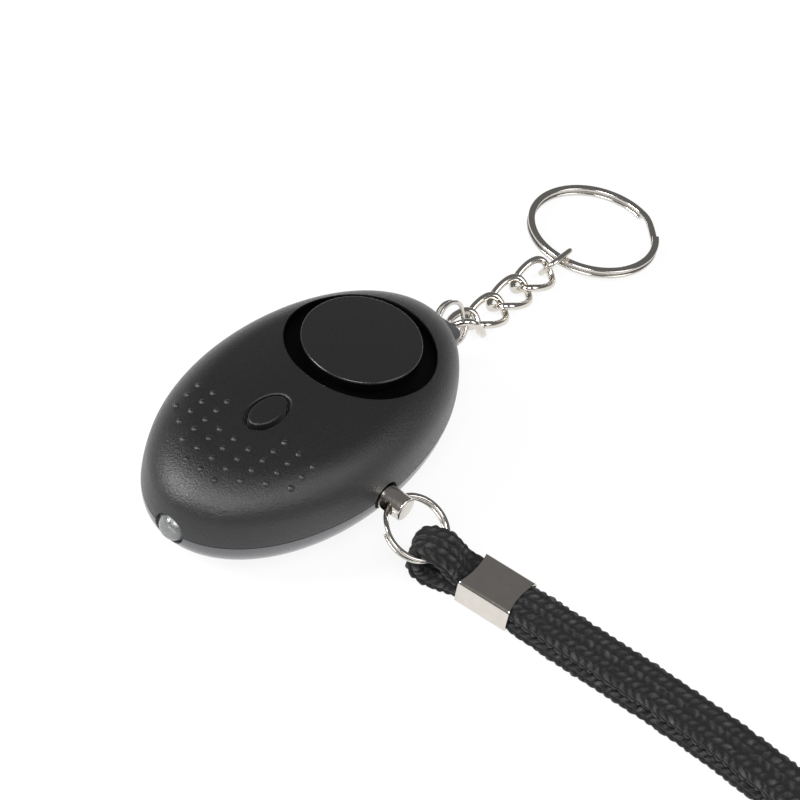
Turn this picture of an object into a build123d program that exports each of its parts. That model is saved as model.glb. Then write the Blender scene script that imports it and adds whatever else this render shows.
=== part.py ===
from build123d import *
import os
from math import atan2, cos, degrees, hypot, pi, radians, sin, sqrt, tan

# Personal safety alarm: a pebble-shaped two-part case with a siren on top, a torch lamp in its tip,
# a pull pin on a wrist strap at its side and a key ring on a chain at its end.
# The origin is the middle of the flat spot the case rests on, +Z is up, +Y points from the lamp
# to the key ring and +X points the way the pull pin comes out. Lengths are in millimetres.

os.makedirs("parts", exist_ok=True)

# Case: an upper dome and a lower bowl that meet at the parting plane
case_half_width = 18.0
lamp_end_reach = 29.9
chain_end_reach = 32.1
parting_height = 9.8
top_rise = 10.7
wall = 1.7
crown_radius = 70.0
side_radius = 28.0
shoulder_radius = 6.5
base_flat_radius = 5.0
base_edge_radius = 7.8
lip_height = 1.2
lip_thickness = 0.8
lip_clearance = 0.1
seat_gap = 0.05
overrun = 2.0

# Siren: a cap on legs in a round recess, over a cup floor with sound holes
siren_y_share = 0.3956
siren_y = siren_y_share * chain_end_reach
siren_rim_margin = 6.1
recess_radius = case_half_width - siren_rim_margin
cap_gap = 2.45
cap_radius = recess_radius - cap_gap
cap_top_height = 20.75
cap_thickness = 1.5
cap_edge = 0.25
cap_leg_radius = 1.2
cap_leg_from_edge = 2.85
cap_leg_circle = cap_radius - cap_leg_from_edge
cap_leg_count = 4
cap_peg_radius = 0.7
cap_peg_length = 1.0
cup_floor_height = 17.2
cup_floor_thickness = 1.1
cup_wall = 1.2
sound_hole_radius = 1.1
sound_hole_circle = 3.6
sound_hole_count = 6
gasket_from_recess = 1.1
gasket_outer_radius = recess_radius - gasket_from_recess
gasket_width = 1.8
gasket_inner_radius = gasket_outer_radius - gasket_width
gasket_height = 0.8
piezo_seat = 1.0
piezo_radius = gasket_inner_radius + piezo_seat
piezo_thickness = 0.2
ceramic_margin = 2.8
ceramic_radius = piezo_radius - ceramic_margin
ceramic_thickness = 0.2
chamber_wall = 1.2
chamber_clearance = 0.15
wire_notch_width = 6.0
wire_radius = 0.25
wire_spacing = 2.4
wire_solder_margin = 1.6
wire_start = piezo_radius - wire_solder_margin
wire_past_chamber = 1.45
wire_end = gasket_outer_radius + chamber_clearance + chamber_wall + wire_past_chamber
wire_bend = 0.6

# Light button
button_y_share = 0.311
button_y = -button_y_share * lamp_end_reach
button_length = 8.2
button_width = 4.4
button_proud = 0.35
button_edge = 0.3
button_clearance = 0.15
button_travel = 0.4
button_flange_lip = 0.7
button_flange_thickness = 0.6
button_flange_top = 18.05
button_recess_margin = 0.7
button_recess_depth = 0.9

# Grip bumps: a lattice in front of the button, in columns either side of the middle
bump_pitch_x_share = 0.1567
bump_pitch_x = bump_pitch_x_share * case_half_width
bump_pitch_y_share = 0.0803
bump_pitch_y = bump_pitch_y_share * lamp_end_reach
bump_first_y_share = 0.398
bump_first_y = -bump_first_y_share * lamp_end_reach
bump_radius = 0.6
bump_sink = 0.32

# Torch lamp
lamp_radius = 2.5
lamp_hole_clearance = 0.2
lamp_proud = 1.2
lamp_tip_reach = lamp_end_reach + lamp_proud
lamp_body_length = 7.7
lamp_flange_radius = 2.9
lamp_flange_length = 1.0
lead_size = 0.5
lead_spacing = 2.54
lead_run = 2.2
lead_tail = 0.8
cup_post_length = 3.4
die_cup_radius = 0.9
die_cup_length = 0.9
lead_hole_radius = 0.5

# Circuit board
board_height = 12.2
board_thickness = 1.0
board_inset = 3.1
board_front_margin = 8.5
board_front_y = board_front_margin - lamp_end_reach
board_back_margin = 7.8
board_back_y = chain_end_reach - board_back_margin
board_notch_clearance = 0.25
tact_size = 6.0
tact_height = 3.3
tact_plunger_radius = 1.7
tact_plunger_depth = 1.4
running_clearance = 0.05
chip_x = 6.3
chip_y = -4.5
chip_length = 4.9
chip_width = 3.9
chip_height = 1.5
chip_standoff = 0.1
chip_leg_count = 8
chip_leg_pitch = 1.27
chip_leg_width = 0.4
chip_leg_thickness = 0.2
chip_leg_reach = 1.0
coil_x = -3.6
coil_from_tip = 12.3
coil_y = coil_from_tip - lamp_end_reach
coil_flange_radius = 2.9
coil_core_radius = 1.4
coil_height = 3.6
coil_flange_thickness = 0.7
coil_winding_radius = 2.5
transistor_x = -6.3
transistor_y = -4.5
transistor_length = 4.5
transistor_width = 2.5
transistor_height = 1.5
transistor_tab_reach = 0.9
transistor_tab_thickness = 0.4
chip_part_length = 2.0
chip_part_width = 1.25
chip_part_height = 0.6
chip_part_margin = 7.7
chip_part_column = chip_part_margin - case_half_width
chip_part_pitch = 1.9
chip_part_first_y = -3.4
chip_part_count = 3

# Battery: three button cells flat in a tray
cell_radius = 5.8
cell_height = 5.4
cell_base_height = 4.9
cell_gap = 0.4
cell_pair_from_end = 23.9
cell_pair_y = chain_end_reach - cell_pair_from_end
cell_crimp_radius = 4.6
cell_crimp_height = 0.4
tray_wall = 0.6
tray_clearance = 0.1
tray_height = 3.4
tray_floor = 1.6
tray_foot_half_width = 10.7
contact_thickness = 0.2
contact_width = 3.0
contact_pad_radius = 3.0
contact_tab_width = 2.0
riser_clearance = 0.2

# Pull pin and its switch
pin_y = -0.86
pin_radius = 2.0
pin_proud = 3.9
pin_reach = case_half_width + pin_proud
pin_bevel = 0.25
pin_head_length = 7.6
pin_hole_from_face = 2.35
pin_hole_x = pin_reach - pin_hole_from_face
pin_hole_radius = 1.25
pin_tip_radius = 1.5
pin_tip_length = 8.3
pin_tip_end = pin_reach - pin_head_length - pin_tip_length
pin_spigot_radius = 0.9
pin_spigot_length = 3.0
pin_tip_bevel = 0.4
socket_sleeve_radius = 2.3
socket_flange_radius = 2.9
socket_mouth_depth = 1.0
socket_mouth = case_half_width - socket_mouth_depth
socket_flange_length = 3.3
socket_flange_start = socket_mouth - socket_flange_length
socket_sleeve_length = 6.3
socket_sleeve_end = socket_flange_start - socket_sleeve_length
socket_hole_clearance = 0.1
leaf_thickness = 0.25
leaf_height = 2.6
leaf_reach = 11.2
leaf_tip_past_pin = 2.1
leaf_swing = 6.0
leaf_foot_width = 1.2
leaf_rest_gap = 0.05
fixed_contact_near = 4.4
fixed_contact_width = 2.0
fixed_contact_foot = 2.2
saddle_thickness = 1.2
saddle_half_width = 3.4
lamp_rib_from_tip = 4.6

# Screws
screw_head_radius = 1.4
screw_head_height = 1.1
screw_shank_radius = 0.8
screw_length = 8.5
screw_head_clearance = 0.15
screw_hole_clearance = 0.25
pilot_clearance = 0.02
cross_slot_width = 0.45
cross_slot_length = 1.8
cross_slot_depth = 0.6
boss_radius = 2.3
boss_hole_clearance = 0.3
front_screw_x_share = 0.5222
front_screw_x = front_screw_x_share * case_half_width
front_screw_y_share = 0.5017
front_screw_y = -front_screw_y_share * lamp_end_reach
front_screw_seat = 4.0
back_screw_from_end = 4.7
back_screw_y = chain_end_reach - back_screw_from_end
back_screw_seat = 5.6
board_screw_from_side = 6.7
board_screw_x = case_half_width - board_screw_from_side
board_screw_y = -6.6
board_screw_head_radius = 1.3
board_screw_head_height = 0.8
board_screw_shank_radius = 0.65
board_screw_length = 4.0
board_post_radius = 1.7

# Lug for the key chain, a flat eye with a hole from top to bottom
lug_height = 7.0
lug_thickness = 2.0
lug_half_width = 3.4
lug_length = 5.3
lug_reach = chain_end_reach + lug_length
lug_corner = 1.8
lug_hole_from_end = 2.6
lug_hole_y = lug_reach - lug_hole_from_end
lug_hole_length = 4.4
lug_hole_width = 2.8
lug_root = 4.0

# Split rings: two turns of flattened wire, stepped from one turn to the other
turn_gap = 0.42
end_gap_angle = 5.0
step_sections = 7
pin_ring_radius = 5.2
pin_ring_wire = 0.7
pin_ring_turn = 0.5
pin_ring_slope = 24.7
pin_ring_start = 245.0
pin_ring_step = 60.0
anchor_ring_radius = 3.5
anchor_ring_wire = 0.7
anchor_ring_turn = 0.45
anchor_ring_lean = 29.0
anchor_ring_start = 60.0
anchor_ring_step = 70.0
key_ring_radius = 10.9
key_ring_wire = 1.2
key_ring_turn = 0.6
key_ring_x = -0.4
key_ring_seat = 1.159
key_ring_start = 74.0
key_ring_step = 30.0

# Curb chain: twisted oval links, and a plain oval connector at its end
link_length = 9.2
link_width = 6.6
link_wire = 1.24
link_twist = -45.0
link_slack = 0.24
hook_slack = 0.55
link_squareness = 0.25
link_stations = 8
link_count = 4
hanging_angle = 30.0
table_gap = 0.05
connector_length = 7.0
connector_width = 5.2
connector_wire = 1.0
connector_squareness = 0.35
connector_lean = 28.0
connector_slack = 0.3
key_slack = 0.35

# Wrist strap: a flat braid folded round the pin ring and closed by a crimp
strap_width = 7.4
strap_thickness = 1.6
strap_base = 0.3
strap_layer_gap = 1.05
loop_width = 5.4
loop_yaw = 18.0
crimp_from_hole = 18.81
crimp_x = pin_hole_x + crimp_from_hole
crimp_aside = 3.01
crimp_y = pin_y + crimp_aside
crimp_yaw = 4.5
crimp_length = 9.2
crimp_width = 8.0
crimp_height = 4.7
crimp_wall = 0.3
crimp_corner = 1.3
crimp_base = 0.05

# Route of the strap in plan from the crimp's far end, along the crimp and to its left
strap_plan = [(0, 0), (36, 0), (63.5, -5.8), (87.5, -4.2)]
# Route of the strap's end loop in its upright plane: along the last run, and up from the table
end_loop = [(0, 1.1), (34, 1.1), (34, 17.5), (18, 17.5), (4.2, 3.75), (0, 3.75)]
# Route of the small loop in its upright plane: back from the crimp's near end, and up
small_loop = [(0.9, 1.15), (-8.05, 1.15), (-8.05, 8.0), (-3.7, 8.0), (-1.2, 3.65), (0.9, 3.65)]
turn_share = 0.45


def crossing(centre_a, radius_a, centre_b, radius_b):
    """Right-hand crossing of two circles in the profile plane."""
    across = (centre_b[0] - centre_a[0], centre_b[1] - centre_a[1])
    apart = hypot(*across)
    along = (radius_a**2 - radius_b**2 + apart**2) / (2 * apart)
    aside = sqrt(radius_a**2 - along**2)
    unit = (across[0] / apart, across[1] / apart)
    foot = (centre_a[0] + along * unit[0], centre_a[1] + along * unit[1])
    first = (foot[0] - aside * unit[1], foot[1] + aside * unit[0])
    second = (foot[0] + aside * unit[1], foot[1] - aside * unit[0])
    return max(first, second)


def dome_circles(inset):
    """Crown circle and side circle of the upper profile, each as centre and radius."""
    crown = (0, parting_height + top_rise - crown_radius), crown_radius - inset
    side = (case_half_width - side_radius, parting_height), side_radius - inset
    return crown, side


def dome_half(inset, direction):
    """Half of the upper dome, set in from the outer skin, towards +Y or -Y."""
    reach = chain_end_reach if direction > 0 else lamp_end_reach
    (crown_centre, crown_size), (side_centre, side_size) = dome_circles(inset)
    corner = crossing(crown_centre, crown_size, side_centre, side_size)
    crown_angle = degrees(atan2(corner[0], corner[1] - crown_centre[1]))
    side_angle = degrees(atan2(corner[1] - side_centre[1], corner[0] - side_centre[0]))
    with BuildPart() as half:
        with BuildSketch(Plane.XZ) as profile:
            with BuildLine():
                CenterArc(crown_centre, crown_size, 90, -crown_angle)
                CenterArc(side_centre, side_size, 0, side_angle)
                Line((case_half_width - inset, parting_height), (0, parting_height))
                Line((0, parting_height), (0, parting_height + top_rise - inset))
            make_face()
            fillet(profile.vertices().sort_by_distance(corner)[0], shoulder_radius - inset)
        revolve(axis=Axis((0, 0, 0), (0, 0, direction)), revolution_arc=180)
    return scale(half.part, by=(1, (reach - inset) / (case_half_width - inset), 1))


def bowl_half(inset, direction):
    """Half of the lower bowl, set in from the outer skin, towards +Y or -Y."""
    reach = chain_end_reach if direction > 0 else lamp_end_reach
    edge_radius = base_edge_radius - inset
    edge_x = case_half_width - base_edge_radius
    depth = parting_height - inset
    across = edge_x - base_flat_radius
    sweep_radius = (across**2 + depth**2 - edge_radius**2) / (2 * (depth - edge_radius))
    join = degrees(atan2(depth - sweep_radius, across))
    with BuildPart() as half:
        with BuildSketch(Plane.XZ):
            with BuildLine():
                Line((0, parting_height), (0, inset))
                Line((0, inset), (base_flat_radius, inset))
                CenterArc((base_flat_radius, inset + sweep_radius), sweep_radius, -90, join + 90)
                CenterArc((edge_x, parting_height), edge_radius, join, -join)
                Line((case_half_width - inset, parting_height), (0, parting_height))
            make_face()
        revolve(axis=Axis((0, 0, 0), (0, 0, direction)), revolution_arc=180)
    return scale(half.part, by=(1, (reach - inset) / (case_half_width - inset), 1))


def dome(inset):
    return dome_half(inset, 1) + dome_half(inset, -1)


def bowl(inset):
    return bowl_half(inset, 1) + bowl_half(inset, -1)


def crown_height(x, y):
    """Height of the outer skin of the dome above a place in plan."""
    reach = chain_end_reach if y > 0 else lamp_end_reach
    out = hypot(x, y * case_half_width / reach)
    (crown_centre, crown_size), (side_centre, side_size) = dome_circles(0)
    turn = crossing(crown_centre, crown_size - shoulder_radius, side_centre, side_size - shoulder_radius)
    if out < turn[0] * crown_size / (crown_size - shoulder_radius):
        return crown_centre[1] + sqrt(crown_size**2 - out**2)
    return turn[1] + sqrt(shoulder_radius**2 - (out - turn[0]) ** 2)


def plan_outline(inset, mode=Mode.ADD):
    """Plan of the case at the parting plane as two half ellipses, inside a sketch."""
    half = case_half_width - inset
    with BuildLine() as outline:
        EllipticalCenterArc((0, 0), half, chain_end_reach - inset, 0, arc_size=180)
        EllipticalCenterArc((0, 0), half, lamp_end_reach - inset, 180, arc_size=180)
    make_face(outline.edges(), mode=mode)


outer_dome = dome(0)
inner_dome = dome(wall)
outer_bowl = bowl(0)
inner_bowl = bowl(wall)

screw_places = [
    (front_screw_x, front_screw_y),
    (-front_screw_x, front_screw_y),
    (0, back_screw_y),
]
screw_seats = [front_screw_seat, front_screw_seat, back_screw_seat]
board_screw_places = [(board_screw_x, board_screw_y), (-board_screw_x, board_screw_y)]
board_top = board_height + board_thickness
cup_floor_bottom = cup_floor_height - cup_floor_thickness
chamber_radius = gasket_outer_radius + chamber_clearance
pin_plane = Plane(origin=(0, pin_y, parting_height), x_dir=(0, 1, 0), z_dir=(1, 0, 0))
lamp_plane = Plane(origin=(0, 0, parting_height), x_dir=(1, 0, 0), z_dir=(0, -1, 0))
siren_plane = Plane(origin=(0, siren_y, 0))
button_plane = Plane(origin=(0, button_y, 0))
button_rim = crown_height(0, button_y)

# Posts that hang in the dome, cut off at its outer skin
with BuildPart() as dome_posts:
    with BuildSketch(Plane.XY.offset(parting_height)):
        with Locations(*screw_places):
            Circle(boss_radius)
    extrude(amount=top_rise)
    with BuildSketch(Plane.XY.offset(board_top)):
        with Locations(*board_screw_places):
            Circle(board_post_radius)
    extrude(amount=top_rise)
    with BuildSketch(siren_plane.offset(board_top)):
        Circle(chamber_radius + chamber_wall)
        Circle(chamber_radius, mode=Mode.SUBTRACT)
    extrude(amount=cup_floor_bottom - board_top + cup_floor_thickness / 2)
    with BuildSketch(siren_plane.offset(cup_floor_bottom)):
        Circle(recess_radius + cup_wall)
    extrude(amount=top_rise)
    add(outer_dome, mode=Mode.INTERSECT)

# Grip bumps in columns, each with its first row and its last
bump_columns = [(0, 2, 5), (1, 2, 5), (2, 0, 4), (3, 0, 3), (4, 0, 2)]
bump_places = [
    (side * column * bump_pitch_x, bump_first_y - row * bump_pitch_y)
    for column, first, last in bump_columns
    for row in range(first, last + 1)
    for side in ((1, -1) if column else (1,))
]

with BuildPart() as top_shell:
    add(outer_dome)
    add(inner_dome, mode=Mode.SUBTRACT)
    add(dome_posts.part)
    # Rebate for the lip of the bottom shell
    with BuildSketch(Plane.XY.offset(parting_height)):
        plan_outline(wall - lip_thickness - lip_clearance)
        with Locations(*screw_places):
            Circle(boss_radius, mode=Mode.SUBTRACT)
    extrude(amount=lip_height + lip_clearance, mode=Mode.SUBTRACT)
    # Siren recess, sound holes and holes for the pegs of the cap
    with BuildSketch(siren_plane.offset(cup_floor_height)):
        Circle(recess_radius)
    extrude(amount=top_rise, mode=Mode.SUBTRACT)
    with BuildSketch(siren_plane.offset(cup_floor_bottom - overrun)):
        Circle(sound_hole_radius)
        with PolarLocations(sound_hole_circle, sound_hole_count):
            Circle(sound_hole_radius)
        with PolarLocations(cap_leg_circle, cap_leg_count, start_angle=45):
            Circle(cap_peg_radius + running_clearance)
    extrude(amount=cup_floor_thickness + 2 * overrun, mode=Mode.SUBTRACT)
    # Notch in the chamber wall for the piezo wires
    with BuildSketch(siren_plane.offset(board_top)):
        with Locations((0, -chamber_radius)):
            Rectangle(wire_notch_width, 2 * (chamber_wall + chamber_clearance))
    extrude(amount=cup_floor_bottom - board_top, mode=Mode.SUBTRACT)
    # Light button opening and the shallow oval round it
    with BuildSketch(button_plane.offset(parting_height + overrun)):
        Ellipse(button_width / 2 + button_clearance, button_length / 2 + button_clearance)
    extrude(amount=top_rise, mode=Mode.SUBTRACT)
    with BuildSketch(button_plane.offset(button_rim - button_recess_depth)):
        Ellipse(button_width / 2 + button_recess_margin, button_length / 2 + button_recess_margin)
    extrude(amount=top_rise, mode=Mode.SUBTRACT)
    # Openings shared with the bottom shell
    with BuildSketch(lamp_plane.offset(lamp_end_reach - wall - overrun)):
        Circle(lamp_radius + lamp_hole_clearance)
    extrude(amount=wall + 2 * overrun, mode=Mode.SUBTRACT)
    with BuildSketch(pin_plane.offset(case_half_width - wall - overrun)):
        Circle(socket_flange_radius + socket_hole_clearance)
    extrude(amount=wall + 2 * overrun, mode=Mode.SUBTRACT)
    # Pilot holes for the case screws and the board screws
    for place, seat in zip(screw_places, screw_seats):
        with BuildSketch(Plane.XY.offset(parting_height - overrun)):
            with Locations(place):
                Circle(screw_shank_radius + pilot_clearance)
        extrude(amount=seat + screw_length + seat_gap - parting_height + overrun, mode=Mode.SUBTRACT)
    with BuildSketch(Plane.XY.offset(board_top - overrun)):
        with Locations(*board_screw_places):
            Circle(board_screw_shank_radius + pilot_clearance)
    extrude(amount=overrun + board_screw_length - board_thickness + seat_gap, mode=Mode.SUBTRACT)
    # Moulded grip bumps
    for x, y in bump_places:
        with Locations((x, y, crown_height(x, y) - bump_sink)):
            Sphere(bump_radius)
top_shell.part.label = "top_shell"
export_step(top_shell.part, "parts/top_shell.step")

# Posts and ribs that stand in the bowl, cut off at its outer skin
with BuildPart() as bowl_posts:
    with BuildSketch(Plane.XY):
        with Locations(*screw_places):
            Circle(boss_radius)
        with Locations(((socket_sleeve_end + socket_flange_start) / 2, pin_y)):
            Rectangle(saddle_thickness, 2 * saddle_half_width)
        with Locations((0, lamp_rib_from_tip - lamp_end_reach)):
            Rectangle(2 * saddle_half_width, saddle_thickness)
    extrude(amount=parting_height - seat_gap)
    add(outer_bowl, mode=Mode.INTERSECT)

with BuildPart() as bottom_shell:
    add(outer_bowl)
    # Lug for the chain
    with BuildSketch(Plane.XY.offset(lug_height - lug_thickness / 2)) as lug_plan:
        with Locations((0, chain_end_reach - lug_root)):
            Rectangle(
                2 * lug_half_width,
                lug_reach + lug_root - chain_end_reach,
                align=(Align.CENTER, Align.MIN),
            )
        fillet(lug_plan.vertices().group_by(Axis.Y)[-1], lug_corner)
        with Locations((0, lug_hole_y)):
            SlotOverall(lug_hole_length, lug_hole_width, mode=Mode.SUBTRACT)
    extrude(amount=lug_thickness)
    add(inner_bowl, mode=Mode.SUBTRACT)
    add(bowl_posts.part)
    # Lip that stands inside the rebate of the top shell
    with BuildSketch(Plane.XY.offset(parting_height)):
        plan_outline(wall - lip_thickness)
        plan_outline(wall, mode=Mode.SUBTRACT)
    extrude(amount=lip_height)
    # Openings shared with the top shell, and the seats of the lamp and the pin socket
    with BuildSketch(lamp_plane.offset(lamp_end_reach - wall - overrun)):
        Circle(lamp_radius + lamp_hole_clearance)
    extrude(amount=wall + 2 * overrun, mode=Mode.SUBTRACT)
    with BuildSketch(lamp_plane.offset(lamp_end_reach - lamp_rib_from_tip - overrun)):
        Circle(lamp_radius + running_clearance)
    extrude(amount=2 * overrun, mode=Mode.SUBTRACT)
    with BuildSketch(pin_plane.offset(case_half_width - wall - overrun)):
        Circle(socket_flange_radius + socket_hole_clearance)
    extrude(amount=wall + 2 * overrun, mode=Mode.SUBTRACT)
    with BuildSketch(pin_plane.offset(socket_sleeve_end)):
        Circle(socket_sleeve_radius + running_clearance)
    extrude(amount=socket_flange_start - socket_sleeve_end, mode=Mode.SUBTRACT)
    # Counterbored screw holes
    for place, seat in zip(screw_places, screw_seats):
        with BuildSketch(Plane.XY.offset(-overrun)):
            with Locations(place):
                Circle(screw_head_radius + screw_head_clearance)
        extrude(amount=seat + overrun, mode=Mode.SUBTRACT)
        with BuildSketch(Plane.XY.offset(seat - overrun)):
            with Locations(place):
                Circle(screw_shank_radius + screw_hole_clearance)
        extrude(amount=parting_height - seat + overrun, mode=Mode.SUBTRACT)
bottom_shell.part.label = "bottom_shell"
export_step(bottom_shell.part, "parts/bottom_shell.step")

# Siren cap: a disc on four legs, with pegs pressed into the cup floor
cap_bottom = cap_top_height - cap_thickness
with BuildPart() as siren_cap:
    with BuildSketch(siren_plane.offset(cap_bottom)):
        Circle(cap_radius)
    extrude(amount=cap_thickness)
    chamfer(siren_cap.faces().sort_by(Axis.Z)[-1].edges(), cap_edge)
    with BuildSketch(siren_plane.offset(cup_floor_height)):
        with PolarLocations(cap_leg_circle, cap_leg_count, start_angle=45):
            Circle(cap_leg_radius)
    extrude(amount=cap_bottom - cup_floor_height)
    with BuildSketch(siren_plane.offset(cup_floor_height - cap_peg_length)):
        with PolarLocations(cap_leg_circle, cap_leg_count, start_angle=45):
            Circle(cap_peg_radius)
    extrude(amount=cap_peg_length)
siren_cap.part.label = "siren_cap"
export_step(siren_cap.part, "parts/siren_cap.step")

# Gasket, brass plate and ceramic disc of the sounder, hung under the cup floor
gasket_bottom = cup_floor_bottom - gasket_height
plate_bottom = gasket_bottom - piezo_thickness
with BuildPart() as sounder_gasket:
    with BuildSketch(siren_plane.offset(gasket_bottom)):
        Circle(gasket_outer_radius)
        Circle(gasket_inner_radius, mode=Mode.SUBTRACT)
    extrude(amount=gasket_height)
sounder_gasket.part.label = "sounder_gasket"
export_step(sounder_gasket.part, "parts/sounder_gasket.step")

with BuildPart() as piezo_plate:
    with BuildSketch(siren_plane.offset(plate_bottom)):
        Circle(piezo_radius)
    extrude(amount=piezo_thickness)
piezo_plate.part.label = "piezo_plate"
export_step(piezo_plate.part, "parts/piezo_plate.step")

with BuildPart() as piezo_ceramic:
    with BuildSketch(siren_plane.offset(plate_bottom - ceramic_thickness)):
        Circle(ceramic_radius)
    extrude(amount=ceramic_thickness)
piezo_ceramic.part.label = "piezo_ceramic"
export_step(piezo_ceramic.part, "parts/piezo_ceramic.step")

# Two wires from the plate through the notch in the chamber wall to the board
wire_height = plate_bottom - wire_radius
with BuildPart() as piezo_wires:
    for side in (-1, 1):
        wire_x = side * wire_spacing / 2
        with BuildLine() as wire_path:
            FilletPolyline(
                (wire_x, siren_y - wire_start, wire_height),
                (wire_x, siren_y - wire_end, wire_height),
                (wire_x, siren_y - wire_end, board_top),
                radius=wire_bend,
            )
        with BuildSketch(Plane(origin=wire_path.line @ 0, z_dir=wire_path.line % 0)):
            Circle(wire_radius)
        sweep(path=wire_path.line)
piezo_wires.part.label = "piezo_wires"
export_step(piezo_wires.part, "parts/piezo_wires.step")

# Torch lamp: a clear lens with its lead frame cast in
lens_back = lamp_tip_reach - lamp_body_length
flange_back = lens_back - lamp_flange_length
lead_x = lead_spacing / 2
with BuildPart() as led_frame:
    for side in (-1, 1):
        with BuildSketch(lamp_plane.offset(flange_back - lead_run)):
            with Locations((side * lead_x, 0)):
                Rectangle(lead_size, lead_size)
        extrude(amount=lead_run + lamp_flange_length + cup_post_length)
        with BuildSketch(Plane.XY.offset(parting_height - lead_size / 2)):
            with Locations((side * lead_x, -flange_back + lead_run + lead_size / 2)):
                Rectangle(lead_size, lead_size)
        extrude(amount=board_top + lead_tail - parting_height + lead_size / 2)
    # Cup that carries the die, on one of the posts
    with BuildSketch(lamp_plane.offset(lens_back + cup_post_length)):
        with Locations((die_cup_radius - lead_x, 0)):
            Circle(die_cup_radius)
    extrude(amount=die_cup_length)
led_frame.part.label = "led_frame"
export_step(led_frame.part, "parts/led_frame.step")

with BuildPart() as led_lens:
    with BuildSketch(lamp_plane.offset(flange_back)):
        Circle(lamp_flange_radius)
    extrude(amount=lamp_flange_length)
    with BuildSketch(lamp_plane.offset(lens_back)):
        Circle(lamp_radius)
    extrude(amount=lamp_tip_reach - lamp_radius - lens_back)
    with Locations((0, lamp_radius - lamp_tip_reach, parting_height)):
        Sphere(lamp_radius)
    add(led_frame.part, mode=Mode.SUBTRACT)
led_lens.part.label = "led_lens"
export_step(led_lens.part, "parts/led_lens.step")

# Circuit board, cut straight at both ends and notched for the pin socket
with BuildPart() as circuit_board:
    with BuildSketch(Plane.XY.offset(board_height)):
        plan_outline(board_inset)
        with Locations((0, (board_front_y + board_back_y) / 2)):
            Rectangle(2 * case_half_width, board_back_y - board_front_y, mode=Mode.INTERSECT)
        with Locations((socket_flange_start - board_notch_clearance, pin_y)):
            Rectangle(
                case_half_width,
                2 * (socket_flange_radius + board_notch_clearance),
                align=(Align.MIN, Align.CENTER),
                mode=Mode.SUBTRACT,
            )
        with Locations(*screw_places):
            Circle(boss_radius + boss_hole_clearance, mode=Mode.SUBTRACT)
        with Locations(*board_screw_places):
            Circle(board_screw_shank_radius + running_clearance, mode=Mode.SUBTRACT)
        with Locations((lead_x, -flange_back + lead_run + lead_size / 2)):
            Circle(lead_hole_radius, mode=Mode.SUBTRACT)
        with Locations((-lead_x, -flange_back + lead_run + lead_size / 2)):
            Circle(lead_hole_radius, mode=Mode.SUBTRACT)
    extrude(amount=board_thickness)
circuit_board.part.label = "circuit_board"
export_step(circuit_board.part, "parts/circuit_board.step")

# Light switch on the board, with a plunger that the button pushes
tact_top = board_top + tact_height
button_flange_bottom = button_flange_top - button_flange_thickness
with BuildPart() as light_switch_body:
    with BuildSketch(button_plane.offset(board_top)):
        Rectangle(tact_size, tact_size)
    extrude(amount=tact_height)
    with BuildSketch(button_plane.offset(tact_top - tact_plunger_depth - button_travel - seat_gap)):
        Circle(tact_plunger_radius + running_clearance)
    extrude(amount=tact_height, mode=Mode.SUBTRACT)
light_switch_body.part.label = "light_switch_body"
export_step(light_switch_body.part, "parts/light_switch_body.step")

with BuildPart() as switch_plunger:
    with BuildSketch(button_plane.offset(tact_top - tact_plunger_depth)):
        Circle(tact_plunger_radius)
    extrude(amount=button_flange_bottom - tact_top + tact_plunger_depth)
switch_plunger.part.label = "switch_plunger"
export_step(switch_plunger.part, "parts/switch_plunger.step")

with BuildPart() as light_button:
    with BuildSketch(button_plane.offset(button_flange_bottom)):
        Ellipse(button_width / 2, button_length / 2)
    extrude(amount=button_rim + button_proud - button_flange_bottom)
    chamfer(light_button.faces().sort_by(Axis.Z)[-1].edges(), button_edge)
    with BuildSketch(button_plane.offset(button_flange_bottom)):
        Ellipse(button_width / 2 + button_flange_lip, button_length / 2 + button_flange_lip)
    extrude(amount=button_flange_thickness)
light_button.part.label = "light_button"
export_step(light_button.part, "parts/light_button.step")

# Parts soldered on the board: driver chip, step-up coil, transistor and three small chips
with BuildPart() as control_chip:
    with BuildSketch(Plane.XY.offset(board_top + chip_standoff)):
        with Locations((chip_x, chip_y)):
            Rectangle(chip_width, chip_length)
    extrude(amount=chip_height)
    leg_row = chip_leg_count // 2
    with BuildSketch(Plane.XY.offset(board_top)):
        with Locations((chip_x, chip_y)):
            with GridLocations(chip_width + chip_leg_reach, chip_leg_pitch, 2, leg_row):
                Rectangle(chip_leg_reach, chip_leg_width)
    extrude(amount=chip_standoff + chip_leg_thickness)
control_chip.part.label = "control_chip"
export_step(control_chip.part, "parts/control_chip.step")

coil_plane = Plane(origin=(coil_x, coil_y, board_top))
with BuildPart() as boost_coil_core:
    with BuildSketch(coil_plane):
        Circle(coil_flange_radius)
    extrude(amount=coil_flange_thickness)
    with BuildSketch(coil_plane.offset(coil_height - coil_flange_thickness)):
        Circle(coil_flange_radius)
    extrude(amount=coil_flange_thickness)
    with BuildSketch(coil_plane):
        Circle(coil_core_radius)
    extrude(amount=coil_height)
boost_coil_core.part.label = "boost_coil_core"
export_step(boost_coil_core.part, "parts/boost_coil_core.step")

with BuildPart() as boost_coil_winding:
    with BuildSketch(coil_plane.offset(coil_flange_thickness)):
        Circle(coil_winding_radius)
        Circle(coil_core_radius, mode=Mode.SUBTRACT)
    extrude(amount=coil_height - 2 * coil_flange_thickness)
boost_coil_winding.part.label = "boost_coil_winding"
export_step(boost_coil_winding.part, "parts/boost_coil_winding.step")

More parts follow.
